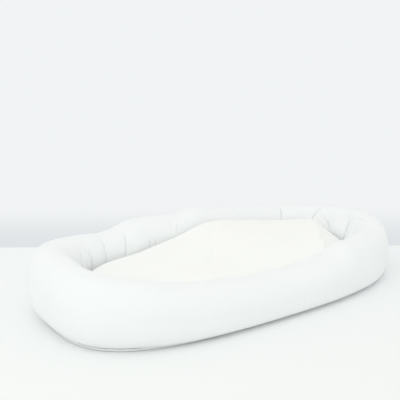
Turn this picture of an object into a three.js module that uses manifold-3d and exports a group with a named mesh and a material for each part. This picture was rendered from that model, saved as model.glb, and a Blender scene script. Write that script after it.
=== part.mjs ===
// An infant lounger: a soft oval ring round a thin quilted base, with a thick pad that lifts out of the nest.
// Millimetres. +X runs from the foot end to the head end, +Y to the far side, +Z up, and the origin is on the
// floor under the middle of the ring.
import * as THREE from "three";
import { mergeVertices } from "three/addons/utils/BufferGeometryUtils.js";
import Module from "manifold-3d";

const wasm = await Module();
wasm.setup();

// The driving dimensions.

// The ring seen from above: a superellipse outline round a tube that is stuffed more at the foot end.
const ring = {
  length: 900,
  width: 482,
  cornerExponent: 3.2,
  outlinePoints: 160,
};

// The tube's width and height at the middle of each side and at each end.
const tube = {
  sideWidth: 106,
  footWidth: 103,
  headWidth: 80,
  nearHeight: 94,
  farHeight: 140,
  footHeight: 151,
  headHeight: 132,
  sectionExponent: 2.3,
  endExponent: 1.5,
  farExponent: 2,
};

// Where the stuffing stands higher or lower than the even tube, by shares of the way round from the head end by
// way of the far side. The height is the deepest dip's, and the other heights are shares of it.
const swell = {
  height: 13.5,
  placeShares: [
    0, 0.022, 0.054, 0.088, 0.12, 0.16, 0.207, 0.23, 0.25, 0.275, 0.297, 0.317,
    0.328, 0.34, 0.356, 0.37, 0.388, 0.421, 0.45, 0.49, 0.93, 0.956, 0.974,
  ],
  heightShares: [
    0.04, -0.41, -1, -0.67, -0.3, -0.07, 0.1, 0.35, -0.15, 0.05, 0.25, 0.36,
    -0.21, -0.58, -0.7, -0.24, 0.06, 0.44, 0.3, 0, 0, 0.33, 0.44,
  ],
};

// The ring's cover, gathered along its inner wall, and the bindings that close its two lower edges. The outer
// binding is tucked in under the cover.
const cover = {
  wall: 2,
  sectionPoints: 9,
  stationSpacing: 41,
  seamTuck: 3,
  outerBindingWidth: 1.6,
  outerBindingLift: 0.9,
  outerBindingHeight: 5.1,
  innerBindingWidth: 6,
  innerBindingHeight: 1.2,
};

// Where the gathers lie round the ring, from the head end by way of the far side, and how deep each one is.
const gather = {
  depth: 9,
  reach: 17,
  topAngle: 62,
  bottomAngle: 236,
  placeShares: [
    0.013, 0.036, 0.093, 0.166, 0.215, 0.265, 0.299, 0.338, 0.368, 0.39, 0.412, 0.45,
    0.49, 0.53, 0.57, 0.61, 0.66, 0.715, 0.77, 0.82, 0.865, 0.91, 0.952, 0.977,
  ],
  depthShares: [
    0.7, 0.85, 0.65, 0.3, 0.25, 0.4, 0.65, 0.8, 1, 0.9, 0.8, 0.6,
    0.6, 0.6, 0.6, 0.7, 0.6, 0.4, 0.3, 0.3, 0.5, 0.6, 0.7, 1,
  ],
};

// The base, from the floor up.
const base = {
  panelThickness: 6,
  waddingThickness: 6,
  floorThickness: 1.5,
  slotWidth: 17,
};

// The pad: the gaps that it leaves inside the ring, and its height at eight even places along it. Its near head
// corner slopes down beyond a ridge, which starts at a distance from the head end and from the middle.
const pad = {
  footGap: 12,
  headGap: 26,
  sideGap: 3,
  thickness: 120,
  headExponent: 6,
  coverWall: 2,
  bottomWall: 2,
  slabThickness: 18,
  pipingDiameter: 3,
  outlinePoints: 56,
  seamInset: 4,
  farHeightShares: [0.57, 0.61, 0.65, 0.805, 1.025, 0.885, 0.715, 0.58],
  middleHeightShares: [0.545, 0.62, 0.665, 0.705, 0.775, 0.765, 0.775, 0.835],
  nearHeightShares: [0.505, 0.62, 0.68, 0.58, 0.535, 0.61, 0.795, 1],
  ridgeHeadInset: 52,
  ridgeOffset: -15,
  ridgeTurn: -35,
  cornerSlope: 0.8,
};

// The pad's wall from its seam up to its crown: each line is an inset and a share of the height there.
const padSide = {
  shoulderInset: 8,
  crownInset: 22,
  innerCrownInset: 58,
  innermostInset: 92,
  waistHeightShare: 0.32,
  upperWallInset: 2,
  upperWallHeightShare: 0.68,
  shoulderHeightShare: 0.9,
  crownHeightShare: 0.975,
};

// One kind of zip is used twice: a long one in the base and a short one in the head end of the pad.
const zip = {
  tapeThickness: 1,
  coilWidth: 2.2,
  coilHeight: 2.4,
  coilGap: 1.2,
  sliderLength: 11,
  sliderWidth: 9,
  plateThickness: 1,
  lugLength: 5,
  lugWidth: 2.2,
  lugWall: 0.8,
  lugDrop: 2.9,
  pullLength: 22,
  pullWidth: 7,
  pullThickness: 1,
  pullEyeLength: 3.4,
  pullEyeWidth: 3,
  pullCorner: 1.2,
  stopLength: 2.5,
  stopWidth: 5.8,
  stopHeight: 3,
  tapeOverlap: 3,
};
const baseZip = { x: -20, length: 300, tapeWidth: 13 };
const padZip = { sideMargin: 77, tapeWidth: 8, height: 28, setback: 4.2, windowHeight: 17 };

const label = { placeShare: 0.2, width: 30, length: 17, thickness: 0.6, lift: 0.9 };

// Gaps between pieces that touch, and between pieces that move.
const seat = 0.3;
const running = 0.25;
const overrun = 5;

// How far to each side of the coils the tapes start, and how far along an opening and its tapes reach, which
// leaves room for the pull where the slider stops.
const tapeStart = zip.coilGap / 2 + zip.coilWidth + seat;
const openingHalf = (size) => size.length / 2 + zip.pullLength;
const tapeHalf = (size) => openingHalf(size) + zip.tapeOverlap;

// Heights that follow from the layers.
const panelTop = base.panelThickness;
const waddingBottom = panelTop + seat;
const waddingTop = waddingBottom + base.waddingThickness;
const floorBottom = waddingTop + seat;
const floorTop = floorBottom + base.floorThickness;
const bindingTop = floorTop + seat + cover.innerBindingHeight;
const padBottom = floorTop + seat;
const padPanelTop = padBottom + pad.bottomWall;
const padWallBottom = padPanelTop + seat;
const slabTop = padWallBottom + pad.slabThickness;
const topperBottom = slabTop + seat;

const fabricWhite = cloth(0xe9edf2);
const padWhite = cloth(0xf2f1ec);
const baseWhite = cloth(0xe4e7ea);
const bindingWhite = cloth(0xe6eaee);
const fibreWhite = cloth(0xf4f4f2);
const foamCream = cloth(0xefe8cf);
const tapeWhite = cloth(0xe8eaec);
const labelWhite = cloth(0xf5f5f3);
const coilWhite = new THREE.MeshStandardMaterial({ color: 0xdfe2e5, roughness: 0.45, metalness: 0 });
const metalGrey = new THREE.MeshStandardMaterial({ color: 0xb9bcc0, roughness: 0.35, metalness: 0.9 });

function cloth(color) {
  return new THREE.MeshStandardMaterial({ color, roughness: 0.95, metalness: 0 });
}

// Small geometry helpers.

function mesh(name, geometry, material) {
  const made = new THREE.Mesh(geometry, material);
  made.name = name;
  return made;
}

// A closed surface from rows of points, each row a closed loop with as many points as the others. The rows
// join on to each other, and the last joins the first again. From one point of the row on, where a shell's
// inner face comes back the other way, the faces are split on their other diagonal, so that the inner face
// and what lies inside it are split alike.
function loopedRows(rows, turnsBackAt = rows[0].length) {
  const positions = rows.flat().flatMap((point) => [point.x, point.y, point.z]);
  const indices = [];
  const across = rows[0].length;
  rows.forEach((row, i) => {
    const next = (i + 1) % rows.length;
    row.forEach((point, j) => {
      const side = (j + 1) % across;
      const [a, b] = [i * across + j, next * across + j];
      const [c, d] = [next * across + side, i * across + side];
      if (j < turnsBackAt) indices.push(a, b, c, a, c, d);
      else indices.push(a, b, d, b, c, d);
    });
  });
  return surface(positions, indices);
}

// A closed body from level loops, each one above or inside the last. Both ends are capped by strips that
// run across the loop from one side to the other.
function cappedLoops(loops) {
  const positions = loops.flat().flatMap((point) => [point.x, point.y, point.z]);
  const indices = [];
  const around = loops[0].length;
  for (let i = 0; i + 1 < loops.length; i++) {
    for (let j = 0; j < around; j++) {
      const side = (j + 1) % around;
      const [a, b] = [i * around + j, i * around + side];
      const [c, d] = [(i + 1) * around + side, (i + 1) * around + j];
      indices.push(a, b, c, a, c, d);
    }
  }
  indices.push(...cap(0, around, true), ...cap((loops.length - 1) * around, around, false));
  return surface(positions, indices);
}

// The triangles of a cap over one loop, which starts on the length axis and is symmetric about it.
function cap(start, around, facesDown) {
  const indices = [];
  const half = around / 2;
  for (let j = 0; j < half; j++) {
    const [near, nearNext] = [(around - j) % around, around - j - 1];
    const triangles = [[j, j + 1, nearNext], [j, nearNext, near]];
    for (const corners of triangles) {
      if (new Set(corners).size < corners.length) continue;
      const placed = corners.map((corner) => start + corner);
      indices.push(...(facesDown ? placed.reverse() : placed));
    }
  }
  return indices;
}

function surface(positions, indices) {
  const geometry = new THREE.BufferGeometry();
  geometry.setAttribute("position", new THREE.Float32BufferAttribute(positions, 3));
  geometry.setIndex(indices);
  geometry.computeVertexNormals();
  return geometry;
}

// A plate of the given outline, lying between two heights, with the given holes cut through it.
function plate(outline, bottom, top, holes = []) {
  const shape = new THREE.Shape(outline);
  shape.holes = holes.map((hole) => new THREE.Path(hole));
  const made = new THREE.ExtrudeGeometry(shape, { depth: top - bottom, bevelEnabled: false });
  return made.translate(0, 0, bottom);
}

function rectangle(x0, y0, x1, y1) {
  return [
    new THREE.Vector2(x0, y0),
    new THREE.Vector2(x1, y0),
    new THREE.Vector2(x1, y1),
    new THREE.Vector2(x0, y1),
  ];
}

function block(x0, y0, z0, x1, y1, z1) {
  const made = new THREE.BoxGeometry(x1 - x0, y1 - y0, z1 - z0);
  return made.translate((x0 + x1) / 2, (y0 + y1) / 2, (z0 + z1) / 2);
}

function solid(geometry) {
  const bare = geometry.clone();
  bare.deleteAttribute("normal");
  bare.deleteAttribute("uv");
  const merged = mergeVertices(bare);
  return new wasm.Manifold(
    new wasm.Mesh({
      numProp: 3,
      vertProperties: new Float32Array(merged.attributes.position.array),
      triVerts: new Uint32Array(merged.index.array),
    }),
  );
}

function geometryOf(made) {
  const { vertProperties, triVerts } = made.getMesh();
  return surface(Array.from(vertProperties), Array.from(triVerts));
}

function joined(...geometries) {
  return geometryOf(geometries.map(solid).reduce((whole, piece) => whole.add(piece)));
}

function cut(geometry, ...tools) {
  return geometryOf(tools.map(solid).reduce((whole, tool) => whole.subtract(tool), solid(geometry)));
}

// A point of a superellipse with the given half sizes.
function superellipse(angle, halfLength, halfWidth, exponent) {
  const [c, s] = [Math.cos(angle), Math.sin(angle)];
  const bend = (value) => Math.sign(value) * Math.abs(value) ** (2 / exponent);
  return new THREE.Vector2(halfLength * bend(c), halfWidth * bend(s));
}

// The ring's tube.

const spineHalfLength = (ring.length - tube.sideWidth) / 2;
const spineHalfWidth = (ring.width - tube.sideWidth) / 2;
const spine = spineCurve();
const stations = stationPlaces().map(stationAt);

// The line that the tube follows, closed, from the middle of the head end by way of the far side.
function spineCurve() {
  const points = [];
  for (let i = 0; i < ring.outlinePoints; i++) {
    const angle = (2 * Math.PI * i) / ring.outlinePoints;
    const at = superellipse(angle, spineHalfLength, spineHalfWidth, ring.cornerExponent);
    points.push(new THREE.Vector3(at.x, at.y, 0));
  }
  const curve = new THREE.CatmullRomCurve3(points, true);
  curve.arcLengthDivisions = points.length * 4;
  return curve;
}

// One station on every gather, and evenly spaced ones between the gathers.
function stationPlaces() {
  const places = [];
  gather.placeShares.forEach((place, i) => {
    const last = i + 1 === gather.placeShares.length;
    const next = last ? gather.placeShares[0] + 1 : gather.placeShares[i + 1];
    const count = Math.max(2, Math.round(((next - place) * spine.getLength()) / cover.stationSpacing));
    for (let j = 0; j < count; j++) places.push((place + ((next - place) * j) / count) % 1);
  });
  return places;
}

// The tube's middle, its outward direction, its half width and half height, and how deep it is gathered.
function stationAt(place) {
  const point = spine.getPointAt(place);
  const tangent = spine.getTangentAt(place);
  const outward = new THREE.Vector2(tangent.y, -tangent.x).normalize();
  const along = point.x / spineHalfLength;
  const foot = Math.max(-along, 0) ** tube.endExponent;
  const head = Math.max(along, 0) ** tube.endExponent;
  const middle = Math.cos((Math.PI / 2) * Math.min(Math.abs(along), 1)) ** 2;
  const far = middle * Math.max(point.y / spineHalfWidth, 0) ** tube.farExponent;
  const width =
    tube.sideWidth + (tube.footWidth - tube.sideWidth) * foot + (tube.headWidth - tube.sideWidth) * head;
  const height =
    tube.nearHeight +
    (tube.footHeight - tube.nearHeight) * foot +
    (tube.headHeight - tube.nearHeight) * head +
    (tube.farHeight - tube.nearHeight) * far +
    swellAt(place);
  const centre = new THREE.Vector2(point.x, point.y).addScaledVector(outward, (tube.sideWidth - width) / 2);
  return { centre, outward, halfWidth: width / 2, halfHeight: height / 2, gathered: gatherDepth(place) };
}

// How much higher the stuffing stands at this place, eased from one listed place to the next.
function swellAt(place) {
  const places = swell.placeShares;
  const last = places.length - 1;
  const i = places.findLastIndex((share) => share <= place);
  const end = i === last ? places[0] + 1 : places[i + 1];
  const [from, to] = [swell.heightShares[i], swell.heightShares[i === last ? 0 : i + 1]];
  return swell.height * THREE.MathUtils.lerp(from, to, THREE.MathUtils.smoothstep(place, places[i], end));
}

// How far the cover is drawn in at this place round the ring.
function gatherDepth(place) {
  let deepest = 0;
  gather.placeShares.forEach((share, i) => {
    const apart = Math.abs(place - share);
    const distance = Math.min(apart, 1 - apart) * spine.getLength();
    const near = Math.exp(-((distance / gather.reach) ** 2));
    deepest = Math.max(deepest, gather.depth * gather.depthShares[i] * near);
  });
  return deepest;
}

// How far out from the tube's middle its face is, at a given height and inset.
function reachAt(station, height, inset = 0) {
  const { halfWidth, halfHeight } = station;
  const drop = Math.abs(halfHeight - height) / (halfHeight - inset);
  return (halfWidth - inset) * (1 - drop ** tube.sectionExponent) ** (1 / tube.sectionExponent);
}

// The angle below the level at which the tube's face comes down to a given height.
function footAngle(station, height) {
  const rise = (station.halfHeight - height) / station.halfHeight;
  return Math.asin(rise ** (tube.sectionExponent / 2));
}

// A section of the tube from its outer lower edge over the top to its inner lower edge, at a given inset.
// Both edges stand on the given height.
function sectionPoints(station, inset, bottom) {
  const start = -footAngle(station, bottom);
  const end = Math.PI - start;
  const last = cover.sectionPoints - 1;
  const points = [];
  for (let i = 0; i <= last; i++) {
    const angle = start + ((end - start) * i) / last;
    const drawnIn = inset + station.gathered * gatherWindow(angle);
    const wide = station.halfWidth - drawnIn;
    const high = station.halfHeight - (angle > 0 && angle < Math.PI ? drawnIn : inset);
    const at = superellipse(angle, wide, high, tube.sectionExponent);
    const standing = i === 0 || i === last;
    points.push(onStation(station, at.x, standing ? bottom : station.halfHeight + at.y));
  }
  return points;
}

// The share of a gather's depth at an angle round the section: nothing outside, most on the inner wall.
function gatherWindow(angle) {
  const from = THREE.MathUtils.degToRad(gather.topAngle);
  const to = THREE.MathUtils.degToRad(gather.bottomAngle);
  if (angle <= from || angle >= to) return 0;
  return Math.sin((Math.PI * (angle - from)) / (to - from));
}

function onStation(station, outwards, height) {
  const at = station.centre.clone().addScaledVector(station.outward, outwards);
  return new THREE.Vector3(at.x, at.y, height);
}

// An outline that runs round the ring, at a distance from the tube's middle that each station gives.
function ringOutline(distance) {
  return stations.map((station) => station.centre.clone().addScaledVector(station.outward, distance(station)));
}

// A band with a rectangular section that follows the ring.
function ringBand(innerReach, outerReach, bottom, top) {
  const rows = stations.map((station) => [
    onStation(station, outerReach(station), bottom),
    onStation(station, outerReach(station), top),
    onStation(station, innerReach(station), top),
    onStation(station, innerReach(station), bottom),
  ]);
  return loopedRows(rows);
}

function bumperCover() {
  const rows = stations.map((station) => {
    const outer = sectionPoints(station, 0, waddingBottom);
    const inner = sectionPoints(station, cover.wall, waddingBottom);
    return [...outer, ...inner.reverse()];
  });
  return mesh("bumper_cover", loopedRows(rows, cover.sectionPoints), fabricWhite);
}

function bumperFill() {
  const rows = stations.map((station) => sectionPoints(station, cover.wall + seat, waddingBottom));
  return mesh("bumper_fill", loopedRows(rows), fibreWhite);
}

function panelReach(station) {
  return reachAt(station, waddingBottom) - cover.seamTuck;
}

function outerBindingReach(station) {
  return panelReach(station) + seat + cover.outerBindingWidth;
}

function outerSeamBinding() {
  const inner = (station) => panelReach(station) + seat;
  const bottom = cover.outerBindingLift;
  const band = ringBand(inner, outerBindingReach, bottom, bottom + cover.outerBindingHeight);
  return mesh("outer_seam_binding", band, bindingWhite);
}

function innerSeamBinding() {
  const outer = (station) => -reachAt(station, bindingTop) - seat;
  const inner = (station) => outer(station) - cover.innerBindingWidth;
  const band = ringBand(inner, outer, floorTop + seat, bindingTop);
  return mesh("inner_seam_binding", band, bindingWhite);
}

// The base.

function basePanel() {
  const slotEnd = openingHalf(baseZip);
  const half = base.slotWidth / 2;
  const slot = rectangle(baseZip.x - slotEnd, -half, baseZip.x + slotEnd, half);
  return mesh("base_panel", plate(ringOutline(panelReach), 0, panelTop, [slot]), baseWhite);
}

function nestOutline(height) {
  return ringOutline((station) => -reachAt(station, height) - seat);
}

function baseWadding() {
  const windowEnd = tapeHalf(baseZip) + seat;
  const half = tapeStart + baseZip.tapeWidth + seat;
  const gap = rectangle(baseZip.x - windowEnd, -half, baseZip.x + windowEnd, half);
  const layer = plate(nestOutline(waddingTop), waddingBottom, waddingTop, [gap]);
  return mesh("base_wadding", layer, fibreWhite);
}

function floorPanel() {
  return mesh("floor_panel", plate(nestOutline(floorTop), floorBottom, floorTop), baseWhite);
}

// A blank label that is sewn to the outer binding and lies out from it, close to the floor.
function careLabel() {
  const station = stationAt(label.placeShare);
  const start = outerBindingReach(station) + seat;
  const half = label.width / 2;
  const shape = block(start, -half, label.lift, start + label.length, half, label.lift + label.thickness);
  const made = mesh("care_label", shape, labelWhite);
  made.rotation.z = Math.atan2(station.outward.y, station.outward.x);
  made.position.set(station.centre.x, station.centre.y, 0);
  return made;
}

// The pad, which lies in the ring's inside and takes its size from it.

const padFootX = tube.footWidth - ring.length / 2 + pad.footGap;
const padHeadX = ring.length / 2 - tube.headWidth - pad.headGap;
const padHalfLength = (padHeadX - padFootX) / 2;
const padCentreX = (padHeadX + padFootX) / 2;
const padHalfWidth = ring.width / 2 - tube.sideWidth - pad.sideGap;

// The pad's zip with the length that the pad's width leaves it.
const headZip = { ...padZip, length: 2 * (padHalfWidth - padZip.sideMargin) };

// The pad's outline, drawn in by an inset: round at the foot end and square at the head end.
function padLoop(inset) {
  const points = [];
  for (let i = 0; i < pad.outlinePoints; i++) {
    const angle = (2 * Math.PI * i) / pad.outlinePoints;
    const exponent = Math.cos(angle) > 0 ? pad.headExponent : ring.cornerExponent;
    const eased = evenAngle(angle, exponent);
    const at = superellipse(eased, padHalfLength - inset, padHalfWidth - inset, exponent);
    points.push(new THREE.Vector2(padCentreX + at.x, at.y));
  }
  return points;
}

// An angle whose superellipse point lies in the direction that a plain angle has on an ellipse, so that
// the points don't crowd in the corners.
function evenAngle(angle, exponent) {
  const [c, s] = [Math.cos(angle), Math.sin(angle)];
  const unbend = (value) => Math.sign(value) * Math.abs(value) ** (exponent / 2);
  return Math.atan2(unbend(s), unbend(c));
}

// The height of the pad's top above its bottom, smooth between the eight places along it.
function padHeight(x, y, inset) {
  const along = THREE.MathUtils.clamp((x - padFootX) / (2 * padHalfLength), 0, 1);
  const across = THREE.MathUtils.clamp(y / padHalfWidth, -1, 1);
  const [near, middle, far] = [pad.nearHeightShares, pad.middleHeightShares, pad.farHeightShares].map(
    (shares) => smoothShare(shares, along),
  );
  const bow = middle + ((far - near) / 2) * across + ((far + near) / 2 - middle) * across ** 2;
  return pad.thickness * bow - cornerDrop(x, y) - inset;
}

// How far the pad's near head corner has come down, beyond the ridge where it starts.
function cornerDrop(x, y) {
  const turn = THREE.MathUtils.degToRad(pad.ridgeTurn);
  const along = (x - padHeadX + pad.ridgeHeadInset) * Math.cos(turn);
  return pad.cornerSlope * Math.max(along + (y - pad.ridgeOffset) * Math.sin(turn), 0);
}

function smoothShare(shares, along) {
  const points = shares.map((share, i) => new THREE.Vector2(i / (shares.length - 1), share));
  return new THREE.SplineCurve(points).getPoint(along).y;
}

// The loops of the pad's side and top, from the seam up, at a given inset from its outer face.
function padLoops(inset, bottom) {
  const rows = [
    [pad.seamInset, 0],
    [0, padSide.waistHeightShare],
    [padSide.upperWallInset, padSide.upperWallHeightShare],
    [padSide.shoulderInset, padSide.shoulderHeightShare],
    [padSide.crownInset, padSide.crownHeightShare],
    [padSide.innerCrownInset, 1],
    [padSide.innermostInset, 1],
  ];
  return rows.map(([rowInset, share], i) =>
    padLoop(rowInset + inset).map(({ x, y }) => {
      const rise = padBottom + share * padHeight(x, y, 0) - share * inset;
      return new THREE.Vector3(x, y, i === 0 ? bottom : Math.max(rise, bottom));
    }),
  );
}

// The shell is the pad's form less the same form inside it, and it is open at the bottom.
function padCoverTop() {
  const outer = cappedLoops(padLoops(0, padWallBottom));
  const inner = cappedLoops(padLoops(pad.coverWall, padWallBottom));
  const mouth = padLoop(pad.seamInset + pad.coverWall);
  const opening = plate(mouth, padWallBottom - overrun, padWallBottom + seat);
  const half = openingHalf(headZip);
  const halfHeight = padZip.windowHeight / 2;
  const zipWindow = block(
    padZipPlane - zip.tapeThickness / 2,
    -half,
    padZip.height - halfHeight,
    padHeadX + overrun,
    half,
    padZip.height + halfHeight,
  );
  return mesh("pad_cover_top", cut(outer, inner, opening, zipWindow), padWhite);
}

function padCoverBottom() {
  const panel = plate(padLoop(pad.seamInset), padBottom, padPanelTop);
  return mesh("pad_cover_bottom", panel, padWhite);
}

function padPiping() {
  const half = pad.pipingDiameter / 2;
  const [inner, outer] = [padLoop(pad.seamInset - seat), padLoop(pad.seamInset - seat - pad.pipingDiameter)];
  const rows = inner.map((from, i) => {
    const middle = from.clone().add(outer[i]).divideScalar(2);
    const outwards = outer[i].clone().sub(from).normalize();
    return [0, 1, 2, 3, 4, 5].map((side) => {
      const angle = (Math.PI * side) / 3;
      const at = middle.clone().addScaledVector(outwards, half * Math.cos(angle));
      return new THREE.Vector3(at.x, at.y, padBottom + half + half * Math.sin(angle));
    });
  });
  return mesh("pad_piping", loopedRows(rows), padWhite);
}

// The zip's middle plane, just behind the wall of the pad's head end.
const padZipPlane = padHeadX - pad.seamInset - pad.coverWall - padZip.setback - zip.tapeThickness / 2;
const slabInset = pad.seamInset + pad.coverWall + seat;

// The room that the slider needs on the inner side of the zip.
function padZipPocket() {
  const depth = zip.coilHeight / 2 + running + zip.plateThickness + seat;
  const half = tapeHalf(headZip) + seat;
  const halfHeight = tapeStart + padZip.tapeWidth + seat;
  return block(
    padZipPlane - depth,
    -half,
    padZip.height - halfHeight,
    padHeadX + overrun,
    half,
    padZip.height + halfHeight,
  );
}

function padSlab() {
  const slab = plate(padLoop(slabInset), padWallBottom, slabTop);
  return mesh("pad_slab", cut(slab, padZipPocket()), foamCream);
}

function padTopper() {
  const inset = pad.coverWall + 2 * seat;
  const whole = cappedLoops(padLoops(inset, padWallBottom));
  const reach = padHalfWidth + padHalfLength;
  const below = block(
    padCentreX - reach,
    -reach,
    padWallBottom - overrun,
    padCentreX + reach,
    reach,
    topperBottom,
  );
  return mesh("pad_topper", cut(whole, below, padZipPocket()), fibreWhite);
}

// The zip, in its own frame: along X, the tapes out to each side in Y, and its outer face towards -Z.

const plateStart = zip.coilHeight / 2 + running;
const plateEnd = plateStart + zip.plateThickness;
const pullAxisHeight = -(plateEnd + zip.lugDrop / 2 - zip.lugWall / 4);

function zipTape(name, size, side) {
  const half = tapeHalf(size);
  const [near, far] = [side * tapeStart, side * (tapeStart + size.tapeWidth)];
  const thick = zip.tapeThickness / 2;
  const shape = block(-half, Math.min(near, far), -thick, half, Math.max(near, far), thick);
  return mesh(name, shape, tapeWhite);
}

function zipCoil(name, size, side) {
  const [near, far] = [side * (zip.coilGap / 2), side * (zip.coilGap / 2 + zip.coilWidth)];
  const [half, high] = [size.length / 2, zip.coilHeight / 2];
  return mesh(name, block(-half, Math.min(near, far), -high, half, Math.max(near, far), high), coilWhite);
}

function zipStop(name, start, end) {
  const [half, high] = [Math.min(zip.stopWidth / 2, tapeStart - seat), zip.stopHeight / 2];
  return mesh(name, block(start, -half, -high, end, half, high), metalGrey);
}

// Two plates and the thin bridge that runs between the coils, with the lug that holds the pull.
function zipSlider(name) {
  const [half, wide] = [zip.sliderLength / 2, zip.sliderWidth / 2];
  const bridge = zip.coilGap / 2 - running;
  const body = joined(
    block(-half, -wide, -plateEnd, half, wide, -plateStart),
    block(-half, -wide, plateStart, half, wide, plateEnd),
    block(-half, -bridge, -plateEnd + zip.plateThickness / 2, half, bridge, plateEnd - zip.plateThickness / 2),
  );
  const [lugHalf, lugSide] = [zip.lugLength / 2, zip.lugWidth / 2];
  const top = -plateEnd + zip.plateThickness / 2;
  const lug = cut(
    block(-lugHalf, -lugSide, -plateEnd - zip.lugDrop, lugHalf, lugSide, top),
    block(
      -lugHalf + zip.lugWall,
      -lugSide - overrun,
      -plateEnd - zip.lugDrop + zip.lugWall,
      lugHalf - zip.lugWall,
      lugSide + overrun,
      -plateEnd,
    ),
  );
  return mesh(name, joined(body, lug), metalGrey);
}

// The pull's bar goes through the lug, and its length points towards -X at rest.
function zipPull(name) {
  const [half, bar] = [zip.pullWidth / 2, zip.pullThickness / 2];
  const corner = zip.pullCorner;
  const shape = new THREE.Shape();
  shape.moveTo(bar, -half);
  shape.lineTo(bar, half);
  shape.lineTo(-zip.pullLength + corner, half);
  shape.lineTo(-zip.pullLength, half - corner);
  shape.lineTo(-zip.pullLength, -half + corner);
  shape.lineTo(-zip.pullLength + corner, -half);
  const eyeHalf = zip.pullEyeWidth / 2;
  shape.holes.push(new THREE.Path(rectangle(-bar - zip.pullEyeLength, -eyeHalf, -bar, eyeHalf)));
  const flat = new THREE.ExtrudeGeometry(shape, { depth: zip.pullThickness, bevelEnabled: false });
  const made = mesh(name, flat.translate(0, 0, -bar), metalGrey);
  made.position.z = pullAxisHeight;
  return made;
}

// The whole zip, with its slider closed up to the stop at +X.
function zipAssembly(prefix, size) {
  const group = new THREE.Group();
  const half = size.length / 2;
  group.add(
    zipTape(prefix + "_tape_a", size, 1),
    zipTape(prefix + "_tape_b", size, -1),
    zipCoil(prefix + "_coil_a", size, 1),
    zipCoil(prefix + "_coil_b", size, -1),
    zipStop(prefix + "_bottom_stop", -half - seat - zip.stopLength, -half - seat),
    zipStop(prefix + "_top_stop", half + seat, half + seat + zip.stopLength),
  );
  const moving = new THREE.Group();
  moving.position.x = half - zip.sliderLength / 2;
  moving.add(zipSlider(prefix + "_slider"), zipPull(prefix + "_pull"));
  group.add(moving);
  return group;
}

function baseZipAssembly() {
  const group = zipAssembly("base_zip", baseZip);
  group.position.set(baseZip.x, 0, panelTop + seat + zip.tapeThickness / 2);
  return group;
}

// Turned so that its length runs along Y and its outer face looks out of the head end.
function padZipAssembly() {
  const group = zipAssembly("pad_zip", headZip);
  const turned = new THREE.Matrix4().makeBasis(
    new THREE.Vector3(0, 1, 0),
    new THREE.Vector3(0, 0, -1),
    new THREE.Vector3(-1, 0, 0),
  );
  group.quaternion.setFromRotationMatrix(turned);
  group.position.set(padZipPlane, 0, padZip.height);
  return group;
}

const bumper = new THREE.Group();
bumper.add(bumperCover(), bumperFill(), outerSeamBinding(), innerSeamBinding(), careLabel());

const nestBase = new THREE.Group();
nestBase.add(basePanel(), baseWadding(), floorPanel(), baseZipAssembly());

const liftOutPad = new THREE.Group();
liftOutPad.add(padCoverTop(), padCoverBottom(), padPiping(), padSlab(), padTopper(), padZipAssembly());

const lounger = new THREE.Group();
lounger.add(bumper, nestBase, liftOutPad);

export default lounger;
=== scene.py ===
# %% [markdown]
# An infant lounger is a soft oval nest: a stuffed fabric ring, gathered along its inner wall, is
# sewn to a thin padded base, and a thick pad lies inside it. Everything is cloth over filling, so
# the whole lesson is about soft shapes: how a tube swells between its gathers, how a pad crowns,
# and how white cloth is lit so that its folds still read. The packed model gives the frame, and
# every piece stays in the place that it sets.

# %% Load the packed model
import math

import bmesh
import bpy
import numpy as np
from mathutils import Matrix, Vector, noise


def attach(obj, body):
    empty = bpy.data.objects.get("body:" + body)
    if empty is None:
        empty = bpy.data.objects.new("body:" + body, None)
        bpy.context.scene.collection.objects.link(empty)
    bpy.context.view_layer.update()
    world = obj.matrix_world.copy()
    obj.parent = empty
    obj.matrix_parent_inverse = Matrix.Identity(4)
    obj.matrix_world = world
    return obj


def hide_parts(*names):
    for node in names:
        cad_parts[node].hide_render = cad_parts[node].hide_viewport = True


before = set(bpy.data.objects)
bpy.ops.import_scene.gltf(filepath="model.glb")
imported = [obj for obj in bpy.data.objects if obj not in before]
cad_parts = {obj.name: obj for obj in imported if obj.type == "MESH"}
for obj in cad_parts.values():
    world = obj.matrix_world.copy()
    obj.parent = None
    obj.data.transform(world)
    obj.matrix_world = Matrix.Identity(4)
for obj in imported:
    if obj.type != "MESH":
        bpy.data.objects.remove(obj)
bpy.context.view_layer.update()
scene = bpy.context.scene

# %% [markdown]
# The camera comes first, because every later choice is judged through it. Its place and its angle
# repeat the photograph's: a fairly long lens from the foot end's near side, looking down on the
# nest by 15 degrees.

# %% The camera
CAMERA_PLACE = Vector((-0.99027, -1.34084, 0.66787))
CAMERA_BACK = Vector((-0.5517, -0.79189, 0.26181))
CAMERA_LENS, CAMERA_SENSOR, CAMERA_RANGE = 67.5, 36.0, 200.0

camera_data = bpy.data.cameras.new("camera")
camera_data.lens = CAMERA_LENS
camera_data.sensor_width = CAMERA_SENSOR
camera_data.clip_end = CAMERA_RANGE
camera = bpy.data.objects.new("camera", camera_data)
camera.location = CAMERA_PLACE
camera.rotation_mode = "QUATERNION"
camera.rotation_quaternion = CAMERA_BACK.to_track_quat("Z", "Y")
scene.collection.objects.link(camera)
scene.camera = camera
print("camera at", tuple(round(v, 3) for v in camera.location))

# %% [markdown]
# A few helpers turn a bmesh into a piece. A finished piece sits at the origin with its place in its
# mesh, rides on a body of the packed model, and stands for the plain solids that it replaces.
# Points are moved as one array for a whole mesh, because a loop over a hundred thousand of them
# would be slow.

# %% Helpers that finish a piece
MM = 0.001
MERGE_REACH = 1e-6
# These stand in for nothing where a number is divided by or compared with it.
NEARLY, TINY, TINIEST = 1e-6, 1e-9, 1e-12


def coordinates(mesh):
    """The mesh's points as an array of rows."""
    flat = np.empty(len(mesh.vertices) * 3)
    mesh.vertices.foreach_get("co", flat)
    return flat.reshape(-1, 3)


def place_points(mesh, points):
    """Moves the mesh's points to the rows of an array."""
    mesh.vertices.foreach_set("co", np.asarray(points, dtype=float).ravel())
    mesh.update()


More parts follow.
